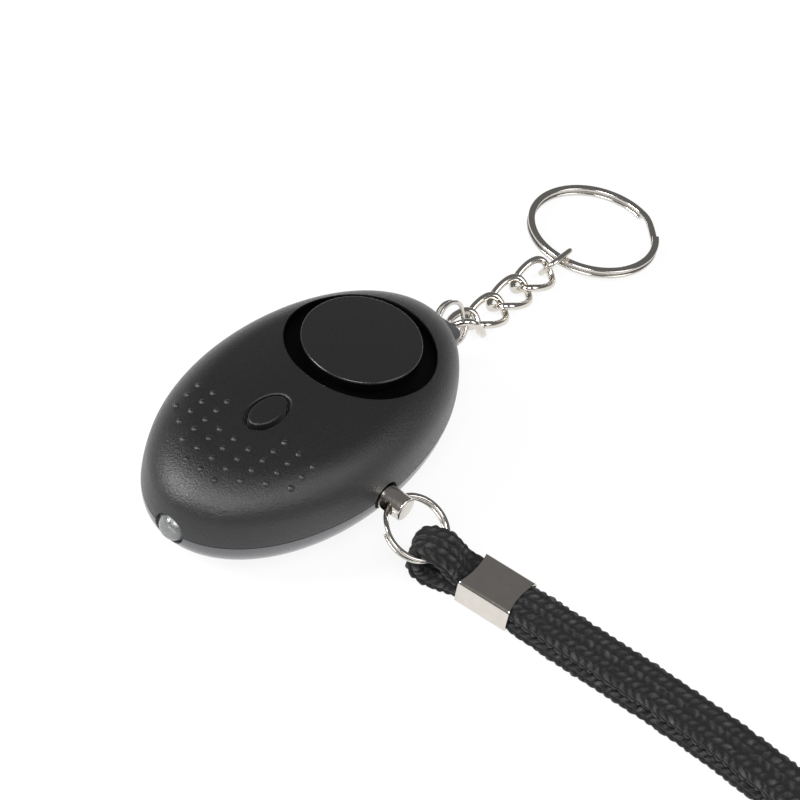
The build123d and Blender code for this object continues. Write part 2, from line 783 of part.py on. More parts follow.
with BuildPart() as transistor:
    with BuildSketch(Plane.XY.offset(board_top)):
        with Locations((transistor_x, transistor_y)):
            Rectangle(transistor_width, transistor_length)
    extrude(amount=transistor_height)
    with BuildSketch(Plane.XY.offset(board_top)):
        with Locations((transistor_x, transistor_y)):
            Rectangle(transistor_width + 2 * transistor_tab_reach, transistor_length / 2)
    extrude(amount=transistor_tab_thickness)
transistor.part.label = "transistor"
export_step(transistor.part, "parts/transistor.step")

with BuildPart() as chip_parts:
    with BuildSketch(Plane.XY.offset(board_top)):
        for row in range(chip_part_count):
            with Locations((chip_part_column, chip_part_first_y + row * chip_part_pitch)):
                Rectangle(chip_part_length, chip_part_width)
    extrude(amount=chip_part_height)
chip_parts.part.label = "chip_parts"
export_step(chip_parts.part, "parts/chip_parts.step")

# Three button cells, two side by side and one behind, in a tray that fits the bowl
cell_spacing = 2 * cell_radius + cell_gap
cell_places = [
    (cell_spacing / 2, cell_pair_y),
    (-cell_spacing / 2, cell_pair_y),
    (0, cell_pair_y + cell_spacing * sqrt(3) / 2),
]
cell_top = cell_base_height + cell_height
with BuildPart() as button_cells:
    with BuildSketch(Plane.XY.offset(cell_base_height)):
        with Locations(*cell_places):
            Circle(cell_radius)
    extrude(amount=cell_height - cell_crimp_height)
    with BuildSketch(Plane.XY.offset(cell_top - cell_crimp_height)):
        with Locations(*cell_places):
            Circle(cell_crimp_radius)
    extrude(amount=cell_crimp_height)
button_cells.part.label = "button_cells"
export_step(button_cells.part, "parts/button_cells.step")

pocket_radius = cell_radius + tray_clearance
contact_floor = cell_base_height - contact_thickness
riser_x = cell_spacing / 2 + pocket_radius + riser_clearance
# Lower contacts: one strip joins two cells, the other runs out under a cell and up to the board
with BuildPart() as lower_contacts:
    with BuildSketch(Plane.XY.offset(contact_floor)):
        with Locations(*cell_places):
            Circle(contact_pad_radius)
        with BuildLine():
            Line(cell_places[1], cell_places[2])
        trace(line_width=contact_width)
        with Locations((cell_spacing / 2, cell_pair_y)):
            Rectangle(
                riser_x - cell_spacing / 2 + contact_thickness / 2,
                contact_width,
                align=(Align.MIN, Align.CENTER),
            )
    extrude(amount=contact_thickness)
    with BuildSketch(Plane.XY.offset(contact_floor)):
        with Locations((riser_x, cell_pair_y)):
            Rectangle(contact_thickness, contact_width)
    extrude(amount=board_height - contact_floor)
lower_contacts.part.label = "lower_contacts"
export_step(lower_contacts.part, "parts/lower_contacts.step")

# Tray: a rim round the pockets for the cells, on a foot shaped like the bowl, let in for the contacts
bed_scale = (chain_end_reach - wall) / (case_half_width - wall)
with BuildPart() as battery_tray:
    with BuildSketch(Plane.XY.offset(contact_floor)):
        with Locations(*cell_places):
            Circle(pocket_radius + tray_wall)
        make_hull()
        with Locations(*screw_places):
            Circle(boss_radius + tray_clearance, mode=Mode.SUBTRACT)
        with Locations(*cell_places):
            Circle(pocket_radius, mode=Mode.SUBTRACT)
        with Locations((riser_x, cell_pair_y)):
            Rectangle(
                2 * tray_wall + contact_thickness,
                contact_width + 2 * riser_clearance,
                mode=Mode.SUBTRACT,
            )
    extrude(amount=tray_height)
    with BuildSketch(Plane.XY.offset(contact_floor - tray_floor)):
        with Locations(*cell_places):
            Circle(pocket_radius + tray_wall)
        make_hull()
        Ellipse(tray_foot_half_width, tray_foot_half_width * bed_scale, mode=Mode.INTERSECT)
    extrude(amount=tray_floor)
    add(lower_contacts.part, mode=Mode.SUBTRACT)
battery_tray.part.label = "battery_tray"
export_step(battery_tray.part, "parts/battery_tray.step")

# Upper contacts: a strip across the pair and a pad on the third cell, each with a tab to the board
with BuildPart() as upper_contacts:
    with BuildSketch(Plane.XY.offset(cell_top)):
        with Locations((0, cell_pair_y)):
            Rectangle(cell_spacing, contact_width)
        with Locations(cell_places[2]):
            Circle(contact_pad_radius)
    extrude(amount=contact_thickness)
    with BuildSketch(Plane.XY.offset(cell_top)):
        with Locations((0, cell_pair_y), cell_places[2]):
            Rectangle(contact_tab_width, contact_thickness)
    extrude(amount=board_height - cell_top)
upper_contacts.part.label = "upper_contacts"
export_step(upper_contacts.part, "parts/upper_contacts.step")

# Pull pin: a nickel-plated head with a cross hole, and a nylon tip on its spigot
head_start = pin_reach - pin_head_length
with BuildPart() as pull_pin:
    with BuildSketch(pin_plane.offset(head_start)):
        Circle(pin_radius)
    extrude(amount=pin_head_length)
    chamfer(pull_pin.faces().sort_by(Axis.X)[-1].edges(), pin_bevel)
    with BuildSketch(pin_plane.offset(head_start - pin_spigot_length)):
        Circle(pin_spigot_radius)
    extrude(amount=pin_spigot_length)
    with BuildSketch(Plane(origin=(pin_hole_x, pin_y, parting_height), x_dir=(1, 0, 0), z_dir=(0, -1, 0))):
        Circle(pin_hole_radius)
    extrude(amount=pin_radius + overrun, both=True, mode=Mode.SUBTRACT)
pull_pin.part.label = "pull_pin"
export_step(pull_pin.part, "parts/pull_pin.step")

with BuildPart() as pin_tip:
    with BuildSketch(pin_plane.offset(pin_tip_end)):
        Circle(pin_tip_radius)
    extrude(amount=head_start - pin_tip_end)
    chamfer(pin_tip.faces().sort_by(Axis.X)[0].edges(), pin_tip_bevel)
    with BuildSketch(pin_plane.offset(head_start - pin_spigot_length)):
        Circle(pin_spigot_radius)
    extrude(amount=pin_spigot_length, mode=Mode.SUBTRACT)
pin_tip.part.label = "pin_tip"
export_step(pin_tip.part, "parts/pin_tip.step")

with BuildPart() as pin_socket:
    with BuildSketch(pin_plane.offset(socket_sleeve_end)):
        Circle(socket_sleeve_radius)
    extrude(amount=socket_flange_start - socket_sleeve_end)
    with BuildSketch(pin_plane.offset(socket_flange_start)):
        Circle(socket_flange_radius)
    extrude(amount=socket_mouth - socket_flange_start)
    with BuildSketch(pin_plane.offset(socket_sleeve_end - overrun)):
        Circle(pin_tip_radius + running_clearance)
    extrude(amount=socket_mouth - socket_sleeve_end + 2 * overrun, mode=Mode.SUBTRACT)
    with BuildSketch(pin_plane.offset(head_start - seat_gap)):
        Circle(pin_radius + running_clearance)
    extrude(amount=socket_mouth - head_start + overrun, mode=Mode.SUBTRACT)
pin_socket.part.label = "pin_socket"
export_step(pin_socket.part, "parts/pin_socket.step")

# Switch of the pull pin: a leaf that the tip holds back, and the contact that it swings on to
leaf_face = pin_tip_end - leaf_rest_gap
leaf_x = leaf_face - leaf_thickness / 2
leaf_foot_y = pin_y + leaf_tip_past_pin - leaf_reach
with BuildPart() as contact_leaf:
    with BuildSketch(Plane.XY.offset(parting_height - leaf_height / 2)):
        with Locations((leaf_x, leaf_foot_y)):
            Rectangle(leaf_thickness, leaf_reach, align=(Align.CENTER, Align.MIN))
            Circle(leaf_foot_width / 2)
    extrude(amount=leaf_height)
    with BuildSketch(Plane.XY.offset(parting_height + leaf_height / 2)):
        with Locations((leaf_x, leaf_foot_y)):
            Circle(leaf_foot_width / 2)
    extrude(amount=board_height - seat_gap - parting_height - leaf_height / 2)
contact_leaf.part.label = "contact_leaf"
export_step(contact_leaf.part, "parts/contact_leaf.step")

swing_reach = fixed_contact_near + fixed_contact_width
fixed_contact_x = leaf_face + swing_reach * sin(radians(leaf_swing)) + leaf_rest_gap
with BuildPart() as fixed_contact:
    with BuildSketch(Plane.XY.offset(parting_height - leaf_height / 2)):
        with Locations((fixed_contact_x, leaf_foot_y + fixed_contact_near)):
            Rectangle(leaf_thickness, fixed_contact_width, align=(Align.MIN, Align.MIN))
    extrude(amount=board_height - parting_height + leaf_height / 2)
    with BuildSketch(Plane.XY.offset(board_height - leaf_thickness)):
        with Locations((fixed_contact_x, leaf_foot_y + fixed_contact_near)):
            Rectangle(fixed_contact_foot, fixed_contact_width, align=(Align.MIN, Align.MIN))
    extrude(amount=leaf_thickness)
fixed_contact.part.label = "fixed_contact"
export_step(fixed_contact.part, "parts/fixed_contact.step")


def screw(place, seat, head_radius, head_height, shank_radius, length):
    """A pan-head screw driven upwards, with its head under the seat and a cross slot in it."""
    with BuildPart() as one:
        with BuildSketch(Plane(origin=(*place, seat - head_height))):
            Circle(head_radius)
        extrude(amount=head_height)
        with BuildSketch(Plane(origin=(*place, seat))):
            Circle(shank_radius)
        extrude(amount=length)
        with BuildSketch(Plane(origin=(*place, seat - head_height))):
            Rectangle(cross_slot_length, cross_slot_width)
            Rectangle(cross_slot_width, cross_slot_length)
        extrude(amount=cross_slot_depth, mode=Mode.SUBTRACT)
    return one.part


case_screw_shapes = [
    screw(place, seat, screw_head_radius, screw_head_height, screw_shank_radius, screw_length)
    for place, seat in zip(screw_places, screw_seats)
]
with BuildPart() as case_screws:
    add(case_screw_shapes)
case_screws.part.label = "case_screws"
export_step(case_screws.part, "parts/case_screws.step")

board_screw_shapes = [
    screw(
        place,
        board_height,
        board_screw_head_radius,
        board_screw_head_height,
        board_screw_shank_radius,
        board_screw_length,
    )
    for place in board_screw_places
]
with BuildPart() as board_screws:
    add(board_screw_shapes)
board_screws.part.label = "board_screws"
export_step(board_screws.part, "parts/board_screws.step")


def ring_plane(radius, angle, height):
    """Plane across a ring's wire, with its x out from the ring's middle and its y up."""
    turn = radians(angle)
    return Plane(
        origin=(radius * cos(turn), radius * sin(turn), height),
        x_dir=(cos(turn), sin(turn), 0),
        z_dir=(sin(turn), -cos(turn), 0),
    )


def split_ring(name, radius, wire, turn, start, step):
    """Two turns of flat wire in one piece; the lower turn starts at the given angle."""
    rise = turn + turn_gap
    rise_angle = step - end_gap_angle

    def height(angle):
        share = min(max((angle - 360 + step) / rise_angle, 0), 1)
        return rise * (share * share * (3 - 2 * share) - 0.5)

    with BuildPart() as ring:
        with BuildSketch(ring_plane(radius, start, -rise / 2)):
            Rectangle(wire, turn)
        revolve(axis=Axis.Z, revolution_arc=360 - step)
        for section in range(step_sections + 1):
            angle = 360 - step + rise_angle * section / step_sections
            with BuildSketch(ring_plane(radius, start + angle, height(angle))):
                Rectangle(wire, turn)
        loft()
        with BuildSketch(ring_plane(radius, start - end_gap_angle, rise / 2)):
            Rectangle(wire, turn)
        revolve(axis=Axis.Z, revolution_arc=360 - step)
    gaps = [
        hypot(radians(later - earlier - 360) * radius, height(later) - height(earlier) - turn)
        for earlier in range(0, 720 - int(step))
        for later in range(earlier + 360 - int(step), min(earlier + 360 + int(step), 720 - int(step)))
        if height(later) - height(earlier) > turn
    ]
    print(name, "least gap between turns", round(min(gaps), 3))
    return ring.part


def placed(shape, plane):
    return plane.location * shape


# Ring through the pull pin: it hangs out from the hole and slopes down to the strap
pin_slope = radians(pin_ring_slope)
pin_ring_plane = Plane(
    origin=(
        pin_hole_x + pin_ring_radius * cos(pin_slope),
        pin_y,
        parting_height - pin_ring_radius * sin(pin_slope),
    ),
    x_dir=(cos(pin_slope), 0, -sin(pin_slope)),
    z_dir=(sin(pin_slope), 0, cos(pin_slope)),
)
pin_ring_shape = placed(
    split_ring("pin_ring", pin_ring_radius, pin_ring_wire, pin_ring_turn, pin_ring_start, pin_ring_step),
    pin_ring_plane,
)
with BuildPart() as pin_ring:
    add(pin_ring_shape)
pin_ring.part.label = "pin_ring"
export_step(pin_ring.part, "parts/pin_ring.step")

# Ring through the lug: upright and leaning over
lean = radians(anchor_ring_lean)
anchor_ring_y = lug_hole_y + anchor_ring_radius
anchor_ring_plane = Plane(
    origin=(0, anchor_ring_y, lug_height),
    x_dir=(0, 1, 0),
    z_dir=(cos(lean), 0, sin(lean)),
)
anchor_ring_shape = placed(
    split_ring(
        "anchor_ring",
        anchor_ring_radius,
        anchor_ring_wire,
        anchor_ring_turn,
        anchor_ring_start,
        anchor_ring_step,
    ),
    anchor_ring_plane,
)
with BuildPart() as anchor_ring:
    add(anchor_ring_shape)
anchor_ring.part.label = "anchor_ring"
export_step(anchor_ring.part, "parts/anchor_ring.step")


def link_point(turn, length, width, twist, squareness):
    """Point on a twisted oval's centre line and the direction of the line there."""
    along = length * cos(turn) * (1 + squareness * sin(turn) ** 2)
    across = width * sin(turn) * (1 + squareness * cos(turn) ** 2)
    angle = twist * cos(turn)
    point = Vector(across * cos(angle), along, across * sin(angle))
    along_rate = -length * sin(turn) * (1 + squareness * (sin(turn) ** 2 - 2 * cos(turn) ** 2))
    across_rate = width * cos(turn) * (1 + squareness * (cos(turn) ** 2 - 2 * sin(turn) ** 2))
    angle_rate = -twist * sin(turn)
    rate = Vector(
        across_rate * cos(angle) - across * sin(angle) * angle_rate,
        along_rate,
        across_rate * sin(angle) + across * cos(angle) * angle_rate,
    )
    return point, rate.normalized()


def biarc(start, start_way, end, end_way):
    """Two tangent arcs from one point and direction to another, in the open line builder."""
    span = end - start
    ways = start_way + end_way
    bend = 2 * (1 - start_way.dot(end_way))
    reach = (-span.dot(ways) + sqrt(span.dot(ways) ** 2 + bend * span.dot(span))) / bend
    joint = (start + end + (start_way - end_way) * reach) / 2
    first = TangentArc(start, joint, tangent=start_way)
    TangentArc(joint, end, tangent=first % 1)


def oval_link(length, width, wire, twist, squareness):
    """A closed oval of round wire along Y, twisted end against end."""
    half_length = (length - wire) / 2
    half_width = (width - wire) / 2
    with BuildPart() as link:
        for half in range(2):
            turns = [pi * (half + station / link_stations) for station in range(link_stations + 1)]
            stations = [
                link_point(turn, half_length, half_width, radians(twist), squareness) for turn in turns
            ]
            with BuildLine() as path:
                for (start, start_way), (end, end_way) in zip(stations, stations[1:]):
                    biarc(start, start_way, end, end_way)
            with BuildSketch(Plane(origin=stations[0][0], z_dir=stations[0][1])):
                Circle(wire / 2)
            sweep(path=path.line)
    return link.part


# Curb chain: the first link hangs from the ring, the others lie on the table
link_shape = oval_link(link_length, link_width, link_wire, link_twist, link_squareness)
link_centreline = link_length - link_wire
link_pitch = link_length - 2 * link_wire - link_slack
chain_height = table_gap - link_shape.bounding_box().min.Z
hang = radians(hanging_angle)
hook_reach = anchor_ring_radius - anchor_ring_wire / 2 - link_wire / 2 - hook_slack
hook = Vector(
    hook_reach * sin(hang) * sin(lean),
    anchor_ring_y + hook_reach * cos(hang),
    lug_height - hook_reach * sin(hang) * cos(lean),
)
drop = hook.Z - chain_height
first_end = Vector(0, hook.Y + sqrt(link_centreline**2 - drop**2 - hook.X**2), chain_height)
first_way = (first_end - hook).normalized()
first_plane = Plane(
    origin=(hook + first_end) / 2,
    x_dir=first_way.cross(Vector(0, 0, 1)),
    z_dir=first_way.cross(Vector(0, 0, 1)).cross(first_way),
)
second_y = first_end.Y - link_wire - link_slack + link_centreline / 2
link_planes = [first_plane] + [
    Plane(origin=(0, second_y + link_pitch * number, chain_height)) for number in range(link_count - 1)
]
for number, plane in enumerate(link_planes, start=1):
    link_placed = placed(link_shape, plane)
    with BuildPart() as chain_link:
        add(link_placed)
    chain_link.part.label = f"chain_link_{number}"
    export_step(chain_link.part, f"parts/chain_link_{number}.step")

# Plain oval between the chain and the key ring, leaning to one side
tilt = radians(connector_lean)
last_link_end = link_planes[-1].origin.Y + link_centreline / 2
connector_near = last_link_end - (link_wire + connector_wire) / 2 - connector_slack
connector_rise = (connector_width - connector_wire) / 2 * cos(tilt) + connector_wire / 2 + table_gap
connector_plane = Plane(
    origin=(
        (connector_rise - chain_height) * tan(tilt),
        connector_near + (connector_length - connector_wire) / 2,
        connector_rise,
    ),
    x_dir=(sin(tilt), 0, cos(tilt)),
    z_dir=(-cos(tilt), 0, sin(tilt)),
)
connector_oval = oval_link(connector_length, connector_width, connector_wire, 0, connector_squareness)
connector_shape = placed(connector_oval, connector_plane)
with BuildPart() as connector_link:
    add(connector_shape)
connector_link.part.label = "connector_link"
export_step(connector_link.part, "parts/connector_link.step")

# Key ring: it lies on the table at its far side and on the connector at its near side
key_outer = key_ring_radius + key_ring_wire / 2
key_height = 2 * key_ring_turn + turn_gap
key_lift = connector_wire + key_slack
key_tilt = atan2(key_lift, 2 * key_outer)
key_ring_y = connector_plane.origin.Y + key_ring_seat + key_ring_radius
key_ring_plane = Plane(
    origin=(key_ring_x, key_ring_y, table_gap + key_lift / 2 + key_height / 2),
    x_dir=(1, 0, 0),
    z_dir=(0, sin(key_tilt), cos(key_tilt)),
)
key_ring_shape = placed(
    split_ring("key_ring", key_ring_radius, key_ring_wire, key_ring_turn, key_ring_start, key_ring_step),
    key_ring_plane,
)
with BuildPart() as key_ring:
    add(key_ring_shape)
key_ring.part.label = "key_ring"
export_step(key_ring.part, "parts/key_ring.step")


def route_radii(name, points, share):
    """Radii of the arcs that join the runs of a strap's route, printed for the record."""
    radii = []
    for before, corner, after in zip(points, points[1:], points[2:]):
        run_in = (corner[0] - before[0], corner[1] - before[1])
        run_out = (after[0] - corner[0], after[1] - corner[1])
        swing = run_in[0] * run_out[1] - run_in[1] * run_out[0]
        turn = abs(atan2(swing, run_in[0] * run_out[0] + run_in[1] * run_out[1]))
        radii.append(share * min(hypot(*run_in), hypot(*run_out)) / tan(turn / 2))
    print(name, "arc radii", [round(radius, 2) for radius in radii])
    return radii


# Crimp: a flattened nickel tube closed on the strap
crimp_way = radians(crimp_yaw)
crimp_plane = Plane(
    origin=(crimp_x, crimp_y, crimp_base + crimp_height / 2),
    x_dir=(-sin(crimp_way), cos(crimp_way), 0),
    z_dir=(cos(crimp_way), sin(crimp_way), 0),
)
crimp_front = crimp_plane.offset(-crimp_length / 2)
crimp_back = crimp_plane.offset(crimp_length / 2)
with BuildPart() as strap_crimp:
    with BuildSketch(crimp_front):
        RectangleRounded(crimp_width, crimp_height, crimp_corner)
        RectangleRounded(
            crimp_width - 2 * crimp_wall,
            crimp_height - 2 * crimp_wall,
            crimp_corner - crimp_wall,
            mode=Mode.SUBTRACT,
        )
    extrude(amount=crimp_length)
strap_crimp.part.label = "strap_crimp"
export_step(strap_crimp.part, "parts/strap_crimp.step")

# Small loop of the strap round the ring, with the part of the strap inside the crimp
loop_way = radians(loop_yaw)
loop_plane = Plane(
    origin=(crimp_front.origin.X, crimp_front.origin.Y, 0),
    x_dir=(cos(loop_way), sin(loop_way), 0),
    z_dir=(sin(loop_way), -cos(loop_way), 0),
)
small_loop_radii = route_radii("strap_loop", small_loop, turn_share)
with BuildPart() as strap_loop:
    with BuildSketch(loop_plane):
        with BuildLine():
            FilletPolyline(*small_loop, radius=small_loop_radii)
        trace(line_width=strap_thickness)
    extrude(amount=loop_width / 2, both=True)
    add(strap_crimp.part, mode=Mode.SUBTRACT)
    with BuildSketch(crimp_front):
        RectangleRounded(
            crimp_width - 2 * crimp_wall,
            crimp_height - 2 * crimp_wall,
            crimp_corner - crimp_wall,
        )
    extrude(amount=crimp_length)
strap_loop.part.label = "strap_loop"
export_step(strap_loop.part, "parts/strap_loop.step")

# Wrist strap: two layers laid along the table, joined by a loop at the end
plan_radii = route_radii("wrist_strap in plan", strap_plan, turn_share)
end_radii = route_radii("wrist_strap end loop", end_loop, turn_share)
strap_plan_plane = Plane(
    origin=(crimp_back.origin.X, crimp_back.origin.Y, strap_base),
    x_dir=(cos(crimp_way), sin(crimp_way), 0),
    z_dir=(0, 0, 1),
)
end_way = atan2(strap_plan[-1][1] - strap_plan[-2][1], strap_plan[-1][0] - strap_plan[-2][0])
end_yaw = end_way + crimp_way
end_origin = strap_plan_plane.from_local_coords(Vector(*strap_plan[-1], 0))
end_plane = Plane(
    origin=(end_origin.X, end_origin.Y, 0),
    x_dir=(cos(end_yaw), sin(end_yaw), 0),
    z_dir=(sin(end_yaw), -cos(end_yaw), 0),
)
with BuildPart() as wrist_strap:
    for layer in range(2):
        with BuildSketch(strap_plan_plane.offset(layer * (strap_thickness + strap_layer_gap))):
            with BuildLine():
                FilletPolyline(*strap_plan, radius=plan_radii)
            trace(line_width=strap_width)
        extrude(amount=strap_thickness)
    with BuildSketch(end_plane):
        with BuildLine():
            FilletPolyline(*end_loop, radius=end_radii)
        trace(line_width=strap_thickness)
    extrude(amount=strap_width / 2, both=True)
wrist_strap.part.label = "wrist_strap"
export_step(wrist_strap.part, "parts/wrist_strap.step")
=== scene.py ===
import bmesh
import bpy
from math import atan2, cos, floor, hypot, pi, radians, sin, sqrt
from mathutils import Matrix, Vector, noise


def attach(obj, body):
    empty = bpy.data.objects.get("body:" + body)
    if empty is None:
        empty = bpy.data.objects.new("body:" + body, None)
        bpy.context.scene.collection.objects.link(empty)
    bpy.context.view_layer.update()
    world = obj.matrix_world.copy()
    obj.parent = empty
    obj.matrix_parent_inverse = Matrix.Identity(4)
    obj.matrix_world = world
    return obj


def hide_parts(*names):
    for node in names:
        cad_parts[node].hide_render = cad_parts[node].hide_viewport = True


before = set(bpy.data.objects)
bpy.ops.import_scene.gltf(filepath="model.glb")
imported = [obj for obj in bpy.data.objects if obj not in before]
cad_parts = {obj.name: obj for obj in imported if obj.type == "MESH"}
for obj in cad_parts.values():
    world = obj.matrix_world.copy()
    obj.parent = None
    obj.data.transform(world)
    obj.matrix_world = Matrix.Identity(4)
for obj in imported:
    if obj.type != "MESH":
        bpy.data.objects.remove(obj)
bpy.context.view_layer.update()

# Camera: the photograph's own view of the alarm, from the lamp end and the pin's side, looking down.
# Sizes and places of pieces are in millimetres below, and each finished mesh is brought to metres.
MM = 0.001
camera_place = Vector((169.68, -256.78, 326.91))
camera_tilt = radians(44.468)
camera_roll = radians(-8.356)
camera_heading = radians(39.254)
camera_lens = 130.19
film_width = 36
camera_clip = 10
camera_turn = (camera_tilt, camera_roll, camera_heading)
bpy.ops.object.camera_add(location=camera_place * MM, rotation=camera_turn)
camera = bpy.context.object
camera.data.lens = camera_lens
camera.data.sensor_width = film_width
camera.data.clip_start = camera_clip * MM
bpy.context.scene.camera = camera


# Studio: a white sheet of paper under the alarm, a grey room and three soft boxes. The paper shows
# almost white to the camera and in the metal, and keeps a faint shadow, as in the photograph.
paper_half_side = 1500
paper_colour = "#EDEDED"
paper_glow_share = 0.86
room_strength = 0.5
mirrored_room_strength = 0.17
soft_box_distance = 900


def linear(colour):
    """Linear red, green, blue and alpha of an sRGB hex colour."""
    shares = []
    for place in (1, 3, 5):
        share = int(colour[place : place + 2], 16) / 255
        shares.append(((share + 0.055) / 1.055) ** 2.4 if share > 0.04045 else share / 12.92)
    return shares + [1]


def node(material, kind, inputs=None, **settings):
    """Adds a node with its settings; an input is a value, an output to link, or a node to link."""
    added = material.node_tree.nodes.new("ShaderNode" + kind)
    for setting, value in settings.items():
        setattr(added, setting, value)
    for socket, value in (inputs or {}).items():
        source = value.outputs[0] if isinstance(value, bpy.types.Node) else value
        if isinstance(source, bpy.types.NodeSocket):
            material.node_tree.links.new(source, added.inputs[socket])
        else:
            added.inputs[socket].default_value = source
    return added


def blank_material(name):
    """A material with an empty node tree."""
    material = bpy.data.materials.new(name)
    material.use_nodes = True
    material.node_tree.nodes.clear()
    return material


def principled(material, finish):
    """Gives a material the surface that a finish describes."""
    node(material, "OutputMaterial", {"Surface": node(material, "BsdfPrincipled", finish)})


bpy.ops.mesh.primitive_plane_add(size=2 * paper_half_side * MM, location=(0, 0, 0))
paper = bpy.context.object
paper.name = "studio_paper"
white_paper = blank_material("white_paper")
paper_rays = node(white_paper, "LightPath").outputs
looked_at = {0: paper_rays["Is Camera Ray"], 1: paper_rays["Is Glossy Ray"]}
direct = node(white_paper, "Math", looked_at, operation="MAXIMUM")
through = paper_rays["Is Transmission Ray"]
seen = node(white_paper, "Math", {0: direct, 1: through}, operation="MAXIMUM")
glow = node(white_paper, "Math", {0: seen, 1: paper_glow_share}, operation="MULTIPLY")
matte = node(white_paper, "BsdfDiffuse", {"Color": linear(paper_colour)})
bright = node(white_paper, "Emission", {"Color": (1, 1, 1, 1), "Strength": 1.0})
shown = node(white_paper, "MixShader", {0: glow, 1: matte, 2: bright})
node(white_paper, "OutputMaterial", {"Surface": shown})
paper.data.materials.append(white_paper)

room = bpy.data.worlds.new("studio_room")
room.use_nodes = True
room_light = room.node_tree.nodes["Background"]
room_light.inputs["Color"].default_value = (1, 1, 1, 1)
room_rays = node(room, "LightPath").outputs
in_view = {0: room_rays["Is Camera Ray"], 1: room_rays["Is Transmission Ray"]}
background = node(room, "Math", in_view, operation="MAXIMUM")
mirrored = room_rays["Is Glossy Ray"]
dimmed = node(room, "MapRange", {0: mirrored, 3: room_strength, 4: mirrored_room_strength})
strength = node(room, "MapRange", {0: background, 3: dimmed, 4: 1.0})
room.node_tree.links.new(strength.outputs[0], room_light.inputs["Strength"])
bpy.context.scene.world = room
bpy.context.scene.view_settings.view_transform = "Standard"


def soft_box(name, azimuth, elevation, side, power):
    """A square soft box that looks at the alarm; azimuth 0 stands in front of the lamp."""
    way = Vector((sin(azimuth) * cos(elevation), -cos(azimuth) * cos(elevation), sin(elevation)))
    bpy.ops.object.light_add(type="AREA", location=way * soft_box_distance * MM)
    lamp = bpy.context.object
    lamp.name = name
    lamp.rotation_euler = way.to_track_quat("Z", "Y").to_euler()
    lamp.data.shape = "SQUARE"
    lamp.data.size = side * MM
    lamp.data.energy = power


soft_box("soft_box_front", radians(30), radians(52), side=400, power=5.0)
soft_box("soft_box_left", radians(-42), radians(38), side=320, power=8.0)
soft_box("soft_box_right", radians(105), radians(40), side=500, power=3.0)


# Upper half of the case: a pebble-shaped dome, injection moulded in charcoal ABS with a fine
# spark-eroded grain. Its outline is spun, stretched along Y at each end and carved for what it holds.
case_half_width = 18.0
lamp_end_reach = 29.9
chain_end_reach = 32.1
parting_height = 9.8
top_rise = 10.7
wall = 1.7
crown_radius = 70.0
side_radius = 28.0
shoulder_radius = 6.5
parting_chamfer = 0.2
siren_y = 12.7
recess_radius = 11.9
recess_edge = 0.22
recess_well_top = 20.4
recess_well_margin = 0.15
cup_floor_height = 17.2
cup_floor_thickness = 1.1
cup_wall = 1.2
sound_hole_radius = 1.1
sound_hole_circle = 3.6
button_y = -9.3
button_half_length = 3.8
button_half_width = 2.05
button_clearance = 0.15
button_recess_margin = 0.55
button_recess_depth = 0.9
button_recess_edge = 0.3
lamp_hole_radius = 2.7
pin_y = -0.86
pin_hole_radius = 2.45
bump_pitch = (2.82, 2.4)
bump_first_y = -11.9
bump_radius = 0.6
bump_sink = 0.32
# Columns of bumps from the middle outwards, each with its first row and its last
bump_columns = [(0, 2, 5), (1, 2, 5), (2, 0, 4), (3, 0, 3), (4, 0, 2)]
skin_inset = 0.4
cut_overrun = 1
above_case = 24
lamp_hole_span = (22, 33)
pin_hole_span = (14, 21)
merge_distance = 0.001
case_sides = 192
core_sides = 96
rim_sides = 144
rim_tool_rise = 3.0
rim_overlap = 0.03
# A rounded rim's profile, as shares of its radius outwards and downwards
lip_shares = [(0, 1), (0.12, 0.6), (0.45, 0.2)]
crown_centre = (0, parting_height + top_rise - crown_radius)
side_centre = (case_half_width - side_radius, parting_height)


def shoulder_middle():
    """Centre of the shoulder's arc, which touches the crown and the side from inside."""
    across = (side_centre[0] - crown_centre[0], side_centre[1] - crown_centre[1])
    apart = hypot(*across)
    crown_reach = crown_radius - shoulder_radius
    side_reach = side_radius - shoulder_radius
    along = (crown_reach**2 - side_reach**2 + apart**2) / (2 * apart)
    aside = sqrt(crown_reach**2 - along**2)
    unit = (across[0] / apart, across[1] / apart)
    foot = (crown_centre[0] + along * unit[0], crown_centre[1] + along * unit[1])
    return foot[0] + aside * unit[1], foot[1] - aside * unit[0]


shoulder_centre = shoulder_middle()
crown_turn = atan2(shoulder_centre[1] - crown_centre[1], shoulder_centre[0] - crown_centre[0])
side_turn = atan2(shoulder_centre[1] - side_centre[1], shoulder_centre[0] - side_centre[0])


def arc(centre, radius, start, end, steps):
    """Points of an arc between two angles."""
    angles = [start + (end - start) * step / steps for step in range(steps + 1)]
    return [(centre[0] + radius * cos(angle), centre[1] + radius * sin(angle)) for angle in angles]


def dome_outline(inset, steps):
    """Outline of the dome from its middle to the parting plane, set in from the outer skin."""
    crown = arc(crown_centre, crown_radius - inset, pi / 2, crown_turn, steps)
    shoulder = arc(shoulder_centre, shoulder_radius - inset, crown_turn, side_turn, steps)
    side = arc(side_centre, side_radius - inset, side_turn, 0, steps // 2)
    return crown + shoulder[1:] + side[1:]


def skin_height(x, y):
    """Height of the dome's outer skin above a place in plan."""
    reach = chain_end_reach if y > 0 else lamp_end_reach
    out = hypot(x, y * case_half_width / reach)
    if out < crown_radius * cos(crown_turn):
        return crown_centre[1] + sqrt(crown_radius**2 - out**2)
    return shoulder_centre[1] + sqrt(shoulder_radius**2 - (out - shoulder_centre[0]) ** 2)


def new_piece(name, points, edges, faces):
    """A new object made from points in millimetres."""
    mesh = bpy.data.meshes.new(name)
    mesh.from_pydata(points, edges, faces)
    piece = bpy.data.objects.new(name, mesh)
    bpy.context.scene.collection.objects.link(piece)
    return piece


